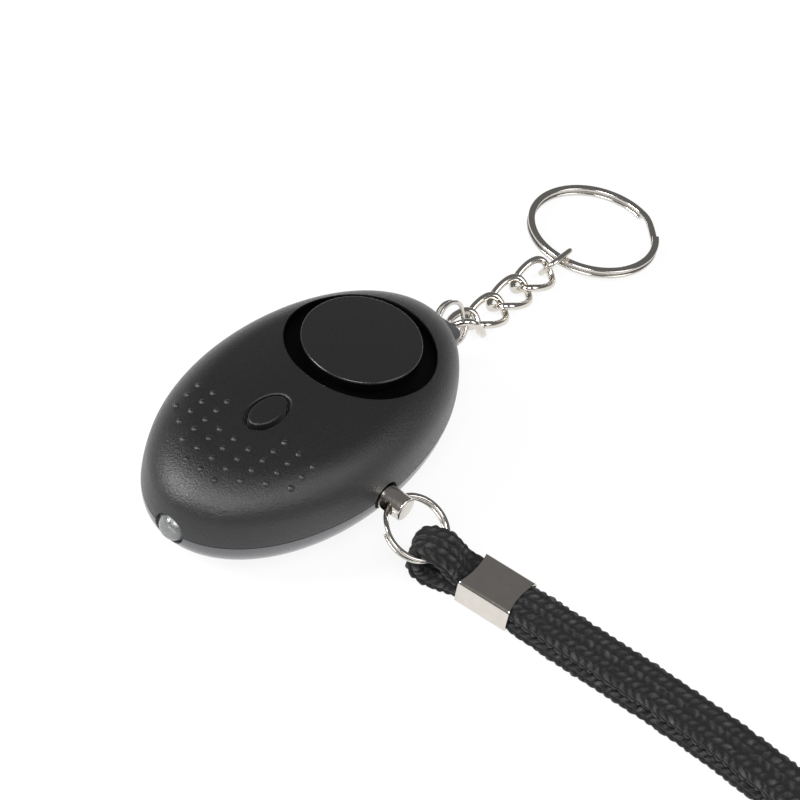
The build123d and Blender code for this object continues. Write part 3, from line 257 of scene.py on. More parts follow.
def edit(piece, kind, wanted):
    """Opens a piece in edit mode with only the wanted vertices, edges or faces selected."""
    bpy.ops.object.select_all(action="DESELECT")
    bpy.context.view_layer.objects.active = piece
    piece.select_set(True)
    bpy.ops.object.mode_set(mode="EDIT")
    bpy.ops.mesh.select_mode(type=kind)
    bpy.ops.mesh.select_all(action="DESELECT")
    shape = bmesh.from_edit_mesh(piece.data)
    for element in {"VERT": shape.verts, "EDGE": shape.edges, "FACE": shape.faces}[kind]:
        element.select_set(wanted(element))
    shape.select_flush_mode()
    bmesh.update_edit_mesh(piece.data)


def everything(element):
    """Chooses each vertex, edge or face of a piece."""
    return True


def edges_above(height):
    """Chooses the edges that lie wholly above a height."""
    return lambda edge: all(vertex.co.z > height for vertex in edge.verts)


def close_edit():
    """Leaves edit mode, so that the piece's mesh holds what was done in it."""
    bpy.ops.object.mode_set(mode="OBJECT")


def turn_outwards(piece):
    """Turns all faces of a piece outwards."""
    edit(piece, "VERT", everything)
    bpy.ops.mesh.normals_make_consistent(inside=False)
    close_edit()


def lathe(name, outline, steps):
    """Spins an outline of radii and heights a full turn round Z."""
    piece = new_piece(
        name,
        [(radius, 0, height) for radius, height in outline],
        [(place, place + 1) for place in range(len(outline) - 1)],
        [],
    )
    edit(piece, "VERT", everything)
    bpy.ops.mesh.spin(steps=steps, angle=2 * pi, center=(0, 0, 0), axis=(0, 0, 1))
    bpy.ops.mesh.select_all(action="SELECT")
    bpy.ops.mesh.remove_doubles(threshold=merge_distance)
    bpy.ops.mesh.normals_make_consistent(inside=False)
    close_edit()
    return piece


def stretch_ends(piece):
    """Stretches the round case to its length, more at the chain's end than at the lamp's."""
    for vertex in piece.data.vertices:
        reach = chain_end_reach if vertex.co.y > 0 else lamp_end_reach
        vertex.co.y *= reach / case_half_width


def post(name, place, radius, bottom, top, sides=48):
    """An upright round post or hole."""
    bpy.ops.mesh.primitive_cylinder_add(
        vertices=sides, radius=radius, depth=top - bottom, location=(*place, (top + bottom) / 2)
    )
    piece = bpy.context.object
    piece.name = name
    bpy.ops.object.transform_apply()
    return piece


def modified(piece, kind, **settings):
    """Gives a piece a modifier with its settings, and applies it."""
    modifier = piece.modifiers.new(kind, kind)
    for setting, value in settings.items():
        setattr(modifier, setting, value)
    bpy.context.view_layer.objects.active = piece
    bpy.ops.object.modifier_apply(modifier=modifier.name)


def carve(piece, tool, operation="DIFFERENCE"):
    """Cuts a closed piece with another, or joins the two, and takes the tool away."""
    modified(piece, "BOOLEAN", operation=operation, solver="EXACT", object=tool)
    bpy.data.objects.remove(tool)


def rim_tool(name, place_y, half_x, half_y, bottom, edge):
    """A tool that sinks an oval into the dome and rounds its rim where it meets the skin."""
    lip = [(out * edge, -down * edge) for out, down in lip_shares]
    rings = [(0, None)] + lip + [(edge, rim_overlap), (edge + rim_tool_rise / 3, rim_tool_rise)]
    points = []
    for out, rise in rings:
        for step in range(rim_sides):
            angle = 2 * pi * step / rim_sides
            x = (half_x + out) * cos(angle)
            y = place_y + (half_y + out) * sin(angle)
            points.append((x, y, bottom if rise is None else skin_height(x, y) + rise))
    faces = [tuple(range(rim_sides))[::-1]]
    for ring in range(len(rings) - 1):
        low = ring * rim_sides
        high = low + rim_sides
        for step in range(rim_sides):
            after = (step + 1) % rim_sides
            faces.append((low + step, low + after, high + after, high + step))
    faces.append(tuple(range(high, high + rim_sides)))
    return new_piece(name, points, [], faces)


def finish_piece(piece, material, body, nodes, smooth=30):
    """Brings a piece to metres, shades it, gives it its material and body, and hides the CAD nodes it stands
    for.
    """
    piece.data.transform(Matrix.Scale(MM, 4))
    bpy.ops.object.select_all(action="DESELECT")
    bpy.context.view_layer.objects.active = piece
    piece.select_set(True)
    bpy.ops.object.shade_smooth_by_angle(angle=radians(smooth))
    piece.data.materials.clear()
    piece.data.materials.append(material)
    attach(piece, body)
    if nodes:
        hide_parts(*nodes)


dome_skin = dome_outline(0, steps=30)
dome_skin[-1] = (case_half_width, parting_height + parting_chamfer)
dome_skin.append((case_half_width - parting_chamfer, parting_height))
dome_lining = dome_outline(wall, steps=10)[::-1]
top_shell = lathe("top_case", dome_skin + dome_lining, case_sides)
stretch_ends(top_shell)
dome_core = lathe("dome_core", dome_outline(skin_inset, steps=12) + [(0, parting_height)], core_sides)
stretch_ends(dome_core)
cup_bottom = cup_floor_height - cup_floor_thickness
cup = post("cup", (0, siren_y), recess_radius + cup_wall, cup_bottom, above_case, sides=96)
carve(cup, dome_core, "INTERSECT")
carve(top_shell, cup, "UNION")
carve(top_shell, rim_tool("recess", siren_y, recess_radius, recess_radius, cup_floor_height, recess_edge))
button_rim = skin_height(0, button_y)
carve(
    top_shell,
    rim_tool(
        "button_recess",
        button_y,
        button_half_width + button_recess_margin,
        button_half_length + button_recess_margin,
        button_rim - button_recess_depth,
        button_recess_edge,
    ),
)
button_hole = post("button_hole", (0, 0), 1, parting_height, above_case, sides=64)
button_hole_sizes = (button_half_width + button_clearance, button_half_length + button_clearance, 1, 1)
button_hole.data.transform(Matrix.Diagonal(button_hole_sizes))
button_hole.data.transform(Matrix.Translation((0, button_y, 0)))
carve(top_shell, button_hole)
sound_holes = [(0, siren_y)] + [
    (sound_hole_circle * cos(step * pi / 3), siren_y + sound_hole_circle * sin(step * pi / 3))
    for step in range(6)
]
sound_hole_span = (cup_floor_height - 2 * cut_overrun, cup_floor_height + cut_overrun)
for place in sound_holes:
    carve(top_shell, post("sound_hole", place, sound_hole_radius, *sound_hole_span, sides=24))


def side_hole(piece, way, place, radius, near, far):
    """Drills a round hole from the side at the parting plane, along X or towards -Y."""
    tool = post("side_hole", (0, 0), radius, near, far, sides=64)
    turned = Matrix.Rotation(pi / 2, 4, "Y") if way == "X" else Matrix.Rotation(pi / 2, 4, "X")
    tool.data.transform(Matrix.Translation(place) @ turned)
    carve(piece, tool)


lamp_hole = ("-Y", (0, 0, parting_height), lamp_hole_radius, *lamp_hole_span)
pin_hole = ("X", (0, pin_y, parting_height), pin_hole_radius, *pin_hole_span)
side_hole(top_shell, *lamp_hole)
side_hole(top_shell, *pin_hole)
bump_places = [
    (side * column * bump_pitch[0], bump_first_y - row * bump_pitch[1])
    for column, first, last in bump_columns
    for row in range(first, last + 1)
    for side in ((1, -1) if column else (1,))
]
bumps = []
for x, y in bump_places:
    bpy.ops.mesh.primitive_uv_sphere_add(
        segments=20, ring_count=12, radius=bump_radius, location=(x, y, skin_height(x, y) - bump_sink)
    )
    bumps.append(bpy.context.object)
bpy.ops.object.select_all(action="DESELECT")
for bump in bumps:
    bump.select_set(True)
bpy.ops.object.join()
bpy.ops.object.transform_apply()
carve(top_shell, bpy.context.object, "UNION")


plastic_specular = 0.6
plastic_sheen = 0.12
gloss_spread = 0.07
# Painted shade deep in the siren's well: a near-black colour, a low specular level and no sheen
well_shade_specular = 0.08
well_shade_colour = "#050505"
broad_patch = 14


def well_shade_mask(material, place, radius):
    """One where a place is low down within a radius round the siren, where the shade is painted, and nought
    elsewhere.
    """
    middle = (0, siren_y * MM, 0)
    away = node(material, "VectorMath", {0: place, 1: middle}, operation="SUBTRACT")
    flat = node(material, "VectorMath", {0: away, 1: (1, 1, 0)}, operation="MULTIPLY")
    far = node(material, "VectorMath", {0: flat}, operation="LENGTH")
    inside = node(material, "Math", {0: far.outputs["Value"], 1: radius * MM}, operation="LESS_THAN")
    height = node(material, "SeparateXYZ", {0: place}).outputs["Z"]
    low = node(material, "Math", {0: height, 1: recess_well_top * MM}, operation="LESS_THAN")
    return node(material, "Math", {0: inside, 1: low}, operation="MULTIPLY")


def moulded_plastic(name, colour, worn_colour, roughness, grain, depth, well=0):
    """Plastic with a mould's grain; within the well's radius round the siren it is given painted shade, dark
    and dull.
    """
    material = blank_material(name)
    place = node(material, "TexCoord").outputs["Object"]
    pits = {"Vector": place, "Scale": 1 / (grain * MM), "Detail": 3.0, "Roughness": 0.65}
    fine = node(material, "TexNoise", pits).outputs["Fac"]
    broad = node(material, "TexNoise", {"Vector": place, "Scale": 1 / (broad_patch * MM), "Detail": 2.0})
    tones = {0: broad.outputs["Fac"], 6: linear(colour), 7: linear(worn_colour)}
    tone = node(material, "Mix", tones, data_type="RGBA").outputs[2]
    glosses = {0: fine, 1: 0.3, 2: 0.7, 3: roughness + gloss_spread, 4: roughness - gloss_spread}
    gloss = node(material, "MapRange", glosses)
    bump = node(material, "Bump", {"Height": fine, "Distance": depth * MM, "Strength": 1.0})
    finish = {
        "Base Color": tone,
        "Roughness": gloss,
        "IOR": 1.53,
        "Specular IOR Level": plastic_specular,
        "Sheen Weight": plastic_sheen,
        "Sheen Roughness": 0.35,
        "Normal": bump,
    }
    # Painted shade: low down round the siren the colour goes near black, and the specular level and sheen
    # fall
    if well:
        well_shade = well_shade_mask(material, place, well)
        well_shade_tones = {0: well_shade, 6: tone, 7: linear(well_shade_colour)}
        finish["Base Color"] = node(material, "Mix", well_shade_tones, data_type="RGBA").outputs[2]
        shaded_specular = {0: well_shade, 3: plastic_specular, 4: well_shade_specular}
        finish["Specular IOR Level"] = node(material, "MapRange", shaded_specular)
        shaded_sheen = {0: well_shade, 3: plastic_sheen, 4: 0.0}
        finish["Sheen Weight"] = node(material, "MapRange", shaded_sheen)
    principled(material, finish)
    return material


# Charcoal ABS off a spark-eroded mould: its grain, drawn a third of a millimetre wide so that it shows,
# breaks a highlight into sparkle. Down in the siren's well it has painted shade, darker than the rest.
grained_abs = moulded_plastic(
    "grained_charcoal_abs",
    "#0C0C0D",
    "#101011",
    roughness=0.4,
    grain=0.32,
    depth=0.1,
    well=recess_radius + recess_well_margin,
)
finish_piece(top_shell, grained_abs, "case", ["top_shell"])


# Lower half of the case: a shallow bowl of the same ABS, with a flat spot that it rests on, three
# screw posts, and a lug for the chain moulded on at its back.
base_flat_radius = 5.0
base_edge_radius = 7.8
screw_places = [(9.4, -15.0), (-9.4, -15.0), (0, 27.4)]
screw_seats = [4.0, 4.0, 5.6]
screw_post_radius = 2.3
screw_post_gap = 0.1
counterbore_radius = 1.55
shank_hole_radius = 1.05
lug_height = 7.0
lug_thickness = 2.0
lug_half_width = 3.4
lug_reach = 37.4
lug_root = 4.0
lug_corner = 1.8
lug_edge = 0.3
lug_hole_y = 34.8
lug_hole_length = 4.4
lug_hole_width = 2.8
lug_slot_overrun = 2


def bowl_outline(inset, steps):
    """Outline of the bowl from its middle to the parting plane, set in from the outer skin."""
    edge_radius = base_edge_radius - inset
    edge_x = case_half_width - base_edge_radius
    across = edge_x - base_flat_radius
    depth = parting_height - inset
    sweep_radius = (across**2 + depth**2 - edge_radius**2) / (2 * (depth - edge_radius))
    join = atan2(depth - sweep_radius, across)
    sweep = arc((base_flat_radius, inset + sweep_radius), sweep_radius, -pi / 2, join, steps)
    edge = arc((edge_x, parting_height), edge_radius, join, 0, steps)
    return [(0, inset)] + sweep + edge[1:]


bowl_skin = bowl_outline(0, steps=24)
bowl_lining = bowl_outline(wall, steps=10)[::-1]
bottom_shell = lathe("bottom_case", bowl_skin + bowl_lining, case_sides)
stretch_ends(bottom_shell)
for place, seat in zip(screw_places, screw_seats):
    bowl_core = lathe("bowl_core", bowl_outline(skin_inset, steps=12) + [(0, parting_height)], core_sides)
    stretch_ends(bowl_core)
    screw_post = post("screw_post", place, screw_post_radius, 0, parting_height - screw_post_gap)
    carve(screw_post, bowl_core, "INTERSECT")
    carve(bottom_shell, screw_post, "UNION")
    carve(bottom_shell, post("counterbore", place, counterbore_radius, -cut_overrun, seat))
    shank_span = (seat - cut_overrun, parting_height + cut_overrun)
    carve(bottom_shell, post("shank_hole", place, shank_hole_radius, *shank_span, sides=32))


def upright_at_tip(edge):
    """Whether an edge of the lug stands upright at its outer end."""
    first, second = (vertex.co for vertex in edge.verts)
    return min(first.y, second.y) > lug_reach - lug_corner and abs(first.z - second.z) > lug_thickness / 2


lug_middle = (chain_end_reach - lug_root + lug_reach) / 2
bpy.ops.mesh.primitive_cube_add(size=1, location=(0, lug_middle, lug_height))
lug = bpy.context.object
lug.scale = (2 * lug_half_width, lug_reach - chain_end_reach + lug_root, lug_thickness)
bpy.ops.object.transform_apply()
edit(lug, "EDGE", upright_at_tip)
bpy.ops.mesh.bevel(offset=lug_corner, offset_type="OFFSET", segments=8, affect="EDGES")
close_edit()
slot_rise = lug_thickness / 2 + lug_slot_overrun
slot_tool = post("slot_tool", (0, 0), lug_hole_width / 2, lug_height - slot_rise, lug_height + slot_rise)
for vertex in slot_tool.data.vertices:
    side = 1 if vertex.co.x > merge_distance else -1
    vertex.co.x += (lug_hole_length - lug_hole_width) / 2 * side
slot_tool.data.transform(Matrix.Translation((0, lug_hole_y, 0)))
carve(lug, slot_tool)
modified(lug, "BEVEL", width=lug_edge, segments=3, limit_method="ANGLE")
carve(bottom_shell, lug, "UNION")
side_hole(bottom_shell, *lamp_hole)
side_hole(bottom_shell, *pin_hole)
# The same ABS off a smoother mould: a satin face, drawn lighter than the upper half's to match how it
# is lit in the photograph.
satin_abs = moulded_plastic(
    "satin_charcoal_abs", "#4A4A4D", "#4E4E51", roughness=0.22, grain=0.5, depth=0.006
)
finish_piece(bottom_shell, satin_abs, "case", ["bottom_shell"])


# Siren cap: a round disc of black ABS, moulded smooth with a crisp turned-over edge. It stands on four
# legs in the case's cup, so that the siren sounds out of the gap all round it.
cap_radius = 9.45
cap_top_height = 20.75
cap_thickness = 1.5
cap_edge = 0.25
leg_radius = 1.2
leg_circle = 6.6
leg_sink = 0.5
cap_bottom = cap_top_height - cap_thickness
siren_cap = post("siren_disc", (0, siren_y), cap_radius, cap_bottom, cap_top_height, sides=160)
edit(siren_cap, "EDGE", edges_above(cap_top_height - cap_edge))
bpy.ops.mesh.bevel(offset=cap_edge, segments=4, affect="EDGES")
close_edit()
for quarter in range(4):
    angle = pi / 4 + quarter * pi / 2
    place = (leg_circle * cos(angle), siren_y + leg_circle * sin(angle))
    leg = post("leg", place, leg_radius, cup_floor_height, cap_bottom + leg_sink, sides=32)
    carve(siren_cap, leg, "UNION")
# Black ABS off a polished mould: an even, faintly glossy face, with painted shade on its sides down in the
# well
smooth_abs = moulded_plastic(
    "smooth_black_abs", "#151516", "#181818", roughness=0.27, grain=0.2, depth=0.004, well=recess_radius
)
finish_piece(siren_cap, smooth_abs, "case", ["siren_cap"])


# Light button: an oval key of the case's own grained ABS, which stands a little proud of its recess.
# A flange under the case's wall keeps it in.
button_proud = 0.35
button_edge = 0.3
button_flange_top = 18.05
button_flange_thickness = 0.6
flange_bottom = button_flange_top - button_flange_thickness
flange_half_width = button_half_width + button_recess_margin
flange_half_length = button_half_length + button_recess_margin
light_button = post("oval_button", (0, 0), 1, flange_bottom, button_flange_top, sides=96)
light_button.data.transform(Matrix.Diagonal((flange_half_width, flange_half_length, 1, 1)))
edit(light_button, "FACE", lambda face: face.normal.z > 0.9)
bpy.ops.mesh.inset(thickness=button_recess_margin)
bpy.ops.mesh.extrude_region_move(
    TRANSFORM_OT_translate={"value": (0, 0, button_rim + button_proud - button_flange_top)}
)
bpy.ops.mesh.bevel(offset=button_edge, segments=5, affect="EDGES")
close_edit()
light_button.data.transform(Matrix.Translation((0, button_y, 0)))
finish_piece(light_button, grained_abs, "button", ["light_button"])


# Torch lamp: a 5 mm lamp cast in clear epoxy, with a domed front and a flange at its back. Its tinned
# lead frame and reflector cup show through the dome.
lamp_radius = 2.5
lamp_tip_reach = 30.6
lamp_body_length = 7.2
lamp_flange_radius = 2.9
lamp_flange_length = 1.0
ripple_width = 1.2
ripple_depth = 0.02
facet_gap = 0.002
lens_back = lamp_tip_reach - lamp_body_length
lens_outline = [
    (0, lens_back - lamp_flange_length),
    (lamp_flange_radius, lens_back - lamp_flange_length),
    (lamp_flange_radius, lens_back),
    (lamp_radius, lens_back),
] + arc((0, lamp_tip_reach - lamp_radius), lamp_radius, 0, pi / 2, 24)
lens = lathe("lamp_lens", lens_outline, 64)
lens.data.transform(Matrix.Translation((0, 0, parting_height)) @ Matrix.Rotation(pi / 2, 4, "X"))
# Cast epoxy: clear, with a grey-white share in its colour that is a painted reflection of the lamp's inside,
# and a slight ripple of the mould in its reflections
clear_epoxy = blank_material("clear_cast_epoxy")
lens_place = node(clear_epoxy, "TexCoord").outputs["Object"]
ripples = {"Vector": lens_place, "Scale": 1 / (ripple_width * MM), "Detail": 1.0}
ripple = node(clear_epoxy, "TexNoise", ripples)
ripple_bump = node(clear_epoxy, "Bump", {"Height": ripple.outputs["Fac"], "Distance": ripple_depth * MM})
clear_finish = {
    # The pale colour, with only part of the light let through, paints the glow of the reflector cup behind
    # the dome
    "Base Color": linear("#E4E8E8"),
    "Roughness": 0.03,
    "IOR": 1.53,
    "Transmission Weight": 0.86,
    "Normal": ripple_bump,
}
principled(clear_epoxy, clear_finish)
finish_piece(lens, clear_epoxy, "case", ["led_lens"])


def plated_metal(name, colour, dull_colour, roughness, grain, depth):
    """Plated metal: bright, with faint wear in its polish and a slight waviness."""
    material = blank_material(name)
    place = node(material, "TexCoord").outputs["Object"]
    marks = {"Vector": place, "Scale": 1 / (grain * MM), "Detail": 5.0, "Roughness": 0.7}
    wear = node(material, "TexNoise", marks).outputs["Fac"]
    tones = {0: wear, 6: linear(colour), 7: linear(dull_colour)}
    tone = node(material, "Mix", tones, data_type="RGBA").outputs[2]
    gloss = node(material, "MapRange", {0: wear, 1: 0.35, 2: 0.7, 3: roughness, 4: roughness * 2})
    bump = node(material, "Bump", {"Height": wear, "Distance": depth * MM, "Strength": 1.0})
    finish = {"Base Color": tone, "Metallic": 1.0, "Roughness": gloss, "Normal": bump}
    principled(material, finish)
    return material


def smooth_copy(name, source, material, body):
    """A copy of a CAD node with its triangles merged, for smooth shading."""
    piece = bpy.data.objects.new(name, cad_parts[source].data.copy())
    bpy.context.scene.collection.objects.link(piece)
    piece.data.transform(Matrix.Scale(1 / MM, 4))
    edit(piece, "VERT", everything)
    bpy.ops.mesh.remove_doubles(threshold=facet_gap)
    close_edit()
    finish_piece(piece, material, body, [source])


# Tinned steel: a pale, slightly cloudy metal
tinned_steel = plated_metal("tinned_steel", "#D2D2D0", "#B4B4B2", roughness=0.2, grain=1.5, depth=0.01)
smooth_copy("lamp_leads", "led_frame", tinned_steel, "case")


# Pull pin: a nickel-plated steel head with a chamfered face and a cross hole, on a white nylon tip
# that runs in a moulded socket.
pin_radius = 2.0
pin_reach = 21.9
pin_head_length = 7.6
pin_bevel = 0.25
pin_hole_x = 19.55
cross_hole_radius = 1.25
pull_pin = post("pin_head", (0, 0), pin_radius, pin_reach - pin_head_length, pin_reach, sides=96)
edit(pull_pin, "EDGE", edges_above(pin_reach - pin_bevel))
bpy.ops.mesh.bevel(offset=pin_bevel, segments=4, affect="EDGES")
close_edit()
cross_hole = post("cross_hole", (0, 0), cross_hole_radius, -2 * pin_radius, 2 * pin_radius)
cross_hole.data.transform(Matrix.Translation((0, 0, pin_hole_x)) @ Matrix.Rotation(pi / 2, 4, "X"))
carve(pull_pin, cross_hole)
pull_pin.data.transform(Matrix.Translation((0, pin_y, parting_height)) @ Matrix.Rotation(pi / 2, 4, "Y"))
# Bright nickel plate: a warm mirror, with faint wavy marks of its polish
bright_nickel = plated_metal(
    "bright_nickel_plate", "#E4E0DA", "#CCC5BC", roughness=0.09, grain=2.5, depth=0.012
)
finish_piece(pull_pin, bright_nickel, "pin", ["pull_pin"])
# Moulded nylon: milky white and waxy
white_nylon = moulded_plastic(
    "white_nylon", "#E4E2DC", "#DCDAD3", roughness=0.45, grain=0.4, depth=0.01
)
smooth_copy("pin_nylon_tip", "pin_tip", white_nylon, "pin")
# Plain black ABS, with no more than a faint grain
inner_black = moulded_plastic(
    "inner_black_abs", "#1C1C1D", "#202021", roughness=0.5, grain=0.3, depth=0.01
)
smooth_copy("pin_bush", "pin_socket", inner_black, "case")


# Split rings of flattened nickel-plated spring wire, wound in two turns with a step between them:
# the one through the pin, the one through the lug and the key ring.
turn_gap = 0.42
end_gap = radians(5)
wire_corner_share = 0.36
small_ring_wire = 0.7


def rounded_section(width, height, corner, corner_steps, side_steps=1):
    """Points round a rectangle with rounded corners, evenly along each side."""
    points = []
    half = (width / 2 - corner, height / 2 - corner)
    for quarter in range(4):
        angle = quarter * pi / 2
        centre = (half[0] * (1 if quarter in (0, 3) else -1), half[1] * (1 if quarter in (0, 1) else -1))
        points += arc(centre, corner, angle, angle + pi / 2, corner_steps)
        length = 2 * half[quarter % 2]
        way = (cos(angle + pi), sin(angle + pi))
        start = points[-1]
        points += [
            (start[0] + way[0] * length * step / side_steps, start[1] + way[1] * length * step / side_steps)
            for step in range(1, side_steps)
        ]
    return points


def swept(name, places, ups, section, closed=False, sizes=None):
    """A section carried along a line, with its second axis kept near the given ups."""
    count = len(places)
    around = len(section)
    points = []
    for step, (place, up) in enumerate(zip(places, ups)):
        before = places[step - 1] if closed or step else place
        after = places[(step + 1) % count] if closed or step < count - 1 else place
        way = (after - before).normalized()
        rise = (up - up.dot(way) * way).normalized()
        side = way.cross(rise)
        wide, high = sizes[step] if sizes else (1, 1)
        points += [place + side * x * wide + rise * y * high for x, y in section]
    faces = []
    for step in range(count if closed else count - 1):
        low = step * around
        high = (step + 1) % count * around
        faces += [
            (low + spot, high + spot, high + (spot + 1) % around, low + (spot + 1) % around)
            for spot in range(around)
        ]
    if not closed:
        faces += [tuple(range(around)), tuple(range((count - 1) * around, count * around))[::-1]]
    return new_piece(name, points, [], faces)


def split_ring(name, radius, wire, turn, start, step, plane):
    """Two turns of flat wire that begin at a start angle and cross over each other within a step."""
    rise = turn + turn_gap
    whole = 4 * pi - step - end_gap
    steps = 288
    places = []
    for number in range(steps + 1):
        angle = whole * number / steps
        share = min(max((angle - 2 * pi + step) / (step - end_gap), 0), 1)
        height = rise * (share * share * (3 - 2 * share) - 0.5)
        places.append(Vector((radius * cos(start + angle), radius * sin(start + angle), height)))
    section = rounded_section(wire, turn, wire_corner_share * turn, corner_steps=5)
    ring = swept(name, places, [Vector((0, 0, 1))] * len(places), section)
    ring.data.transform(plane)
    turn_outwards(ring)
    return ring


def plane_matrix(origin, x_dir, z_dir):
    """Matrix of a plane from its middle, its X axis and its normal."""
    x_axis = Vector(x_dir).normalized()
    z_axis = Vector(z_dir).normalized()
    turned = Matrix((x_axis, z_axis.cross(x_axis), z_axis)).transposed().to_4x4()
    return Matrix.Translation(origin) @ turned


pin_ring_radius = 5.2
pin_ring_turn = 0.5
pin_slope = radians(24.7)
pin_ring_plane = plane_matrix(
    (pin_hole_x + pin_ring_radius * cos(pin_slope), pin_y, parting_height - pin_ring_radius * sin(pin_slope)),
    (cos(pin_slope), 0, -sin(pin_slope)),
    (sin(pin_slope), 0, cos(pin_slope)),
)
pin_ring = split_ring(
    "ring_of_pin",
    pin_ring_radius,
    small_ring_wire,
    pin_ring_turn,
    start=radians(245),
    step=radians(60),
    plane=pin_ring_plane,
)
# Nickel plate over hard wire: bright, and a little greyer than on the pin
spring_wire = plated_metal(
    "nickel_plated_spring_wire", "#DEDBD6", "#C4BFB8", roughness=0.1, grain=1.8, depth=0.01
)
finish_piece(pin_ring, spring_wire, "ring_on_pin", ["pin_ring"])

anchor_ring_radius = 3.5
anchor_ring_turn = 0.45
anchor_lean = radians(29)
anchor_ring_y = lug_hole_y + anchor_ring_radius
anchor_normal = (cos(anchor_lean), 0, sin(anchor_lean))
anchor_plane = plane_matrix((0, anchor_ring_y, lug_height), (0, 1, 0), anchor_normal)
anchor_ring = split_ring(
    "ring_of_lug",
    anchor_ring_radius,
    small_ring_wire,
    anchor_ring_turn,
    start=radians(60),
    step=radians(70),
    plane=anchor_plane,
)
finish_piece(anchor_ring, spring_wire, "ring_in_lug", ["anchor_ring"])

key_ring_radius = 10.9
key_ring_wire = 1.2
key_ring_turn = 0.6
key_ring_place = (-0.4, 79.75)
key_lift = 1.35
table_gap = 0.05
key_tilt = atan2(key_lift, 2 * key_ring_radius + key_ring_wire)
key_plane = plane_matrix(
    (*key_ring_place, table_gap + key_lift / 2 + key_ring_turn + turn_gap / 2),
    (1, 0, 0),
    (0, sin(key_tilt), cos(key_tilt)),
)
key_ring = split_ring(
    "ring_for_keys",
    key_ring_radius,
    key_ring_wire,
    key_ring_turn,
    start=radians(74),
    step=radians(30),
    plane=key_plane,
)
finish_piece(key_ring, spring_wire, "keys", ["key_ring"])


# Curb chain: four twisted oval links of round nickel-plated wire, the first hung from the ring in
# the lug, and a plain oval link that joins the chain to the key ring.
link_length = 9.2
link_width = 6.6
link_wire = 1.24
link_twist = radians(-45)
link_squareness = 0.25
link_slack = 0.24
hook_slack = 0.55
hang = radians(30)
chain_height = 1.796
connector_length = 7.0
connector_width = 5.2
connector_wire = 1.0
connector_squareness = 0.35
connector_lean = radians(28)
connector_slack = 0.3


def oval_link(name, length, width, wire, twist, squareness, plane):
    """A closed oval of round wire along Y, twisted end against end."""
    half_length = (length - wire) / 2
    half_width = (width - wire) / 2
    steps = 72
    places = []
    ups = []
    for number in range(steps):
        angle = 2 * pi * number / steps
        along = half_length * cos(angle) * (1 + squareness * sin(angle) ** 2)
        across = half_width * sin(angle) * (1 + squareness * cos(angle) ** 2)
        tilt = twist * cos(angle)
        places.append(Vector((across * cos(tilt), along, across * sin(tilt))))
        ups.append(Vector((-sin(tilt), 0, cos(tilt))))
    section = arc((0, 0), wire / 2, 0, 2 * pi, steps=20)[:-1]
    link = swept(name, places, ups, section, closed=True)
    link.data.transform(plane)
    turn_outwards(link)
    return link


link_centreline = link_length - link_wire
link_pitch = link_length - 2 * link_wire - link_slack
hook_reach = anchor_ring_radius - small_ring_wire / 2 - link_wire / 2 - hook_slack
hook = Vector(
    (
        hook_reach * sin(hang) * sin(anchor_lean),
        anchor_ring_y + hook_reach * cos(hang),
        lug_height - hook_reach * sin(hang) * cos(anchor_lean),
    )
)
drop = hook.z - chain_height
first_end = Vector((0, hook.y + sqrt(link_centreline**2 - drop**2 - hook.x**2), chain_height))
first_way = (first_end - hook).normalized()
first_side = first_way.cross(Vector((0, 0, 1))).normalized()
link_planes = [plane_matrix((hook + first_end) / 2, first_side, first_side.cross(first_way))]
second_y = first_end.y - link_wire - link_slack + link_centreline / 2
link_planes += [Matrix.Translation((0, second_y + link_pitch * number, chain_height)) for number in range(3)]
for number, plane in enumerate(link_planes, start=1):
    link = oval_link(
        f"curb_link_{number}", link_length, link_width, link_wire, link_twist, link_squareness, plane
    )
    finish_piece(link, bright_nickel, f"link_{number}", [f"chain_link_{number}"])
last_end = second_y + 2 * link_pitch + link_centreline / 2
connector_rise = (connector_width - connector_wire) / 2 * cos(connector_lean) + connector_wire / 2 + table_gap
connector_start = last_end - (link_wire + connector_wire) / 2 - connector_slack
connector_plane = plane_matrix(
    (
        (connector_rise - chain_height) * sin(connector_lean) / cos(connector_lean),
        connector_start + (connector_length - connector_wire) / 2,
        connector_rise,
    ),
    (sin(connector_lean), 0, cos(connector_lean)),
    (-cos(connector_lean), 0, sin(connector_lean)),
)
connector = oval_link(
    "plain_link", connector_length, connector_width, connector_wire, 0, connector_squareness, connector_plane
)
finish_piece(connector, bright_nickel, "connector", ["connector_link"])


# Crimp: a strip of nickel-plated brass folded into a flat tube and pressed shut on the strap. Its
# ends are cut in a shallow curve, and its edges are a little rounded.
crimp_middle = (38.36, 2.15, 2.4)
crimp_way = radians(4.5)
crimp_length = 9.2
crimp_width = 8.0
crimp_height = 4.7
crimp_wall = 0.3
crimp_corner = 0.75
crimp_hollow = 0.55
crimp_edge = 0.06
crimp_stations = 24
crimp_line = []
for step in range(crimp_stations + 1):
    crimp_line.append(Vector((crimp_length * (step / crimp_stations - 0.5), 0, 0)))
crimp_section = rounded_section(crimp_width, crimp_height, crimp_corner, corner_steps=6, side_steps=14)
crimp = swept("strap_clasp", crimp_line, [Vector((0, 0, 1))] * len(crimp_line), crimp_section)
edit(crimp, "FACE", lambda face: len(face.verts) > 4)
bpy.ops.mesh.delete(type="ONLY_FACE")
close_edit()
for vertex in crimp.data.vertices:
    hollow = crimp_hollow * (1 - (2 * vertex.co.y / crimp_width) ** 2)
    vertex.co.x *= 1 - 2 * hollow / crimp_length
turn_outwards(crimp)
modified(crimp, "SOLIDIFY", thickness=crimp_wall, offset=-1)
modified(crimp, "BEVEL", width=crimp_edge, segments=2, limit_method="ANGLE", angle_limit=radians(50))
crimp_turn = Matrix.Translation(crimp_middle) @ Matrix.Rotation(crimp_way, 4, "Z")
crimp.data.transform(crimp_turn)
finish_piece(crimp, bright_nickel, "strap", ["strap_crimp"])


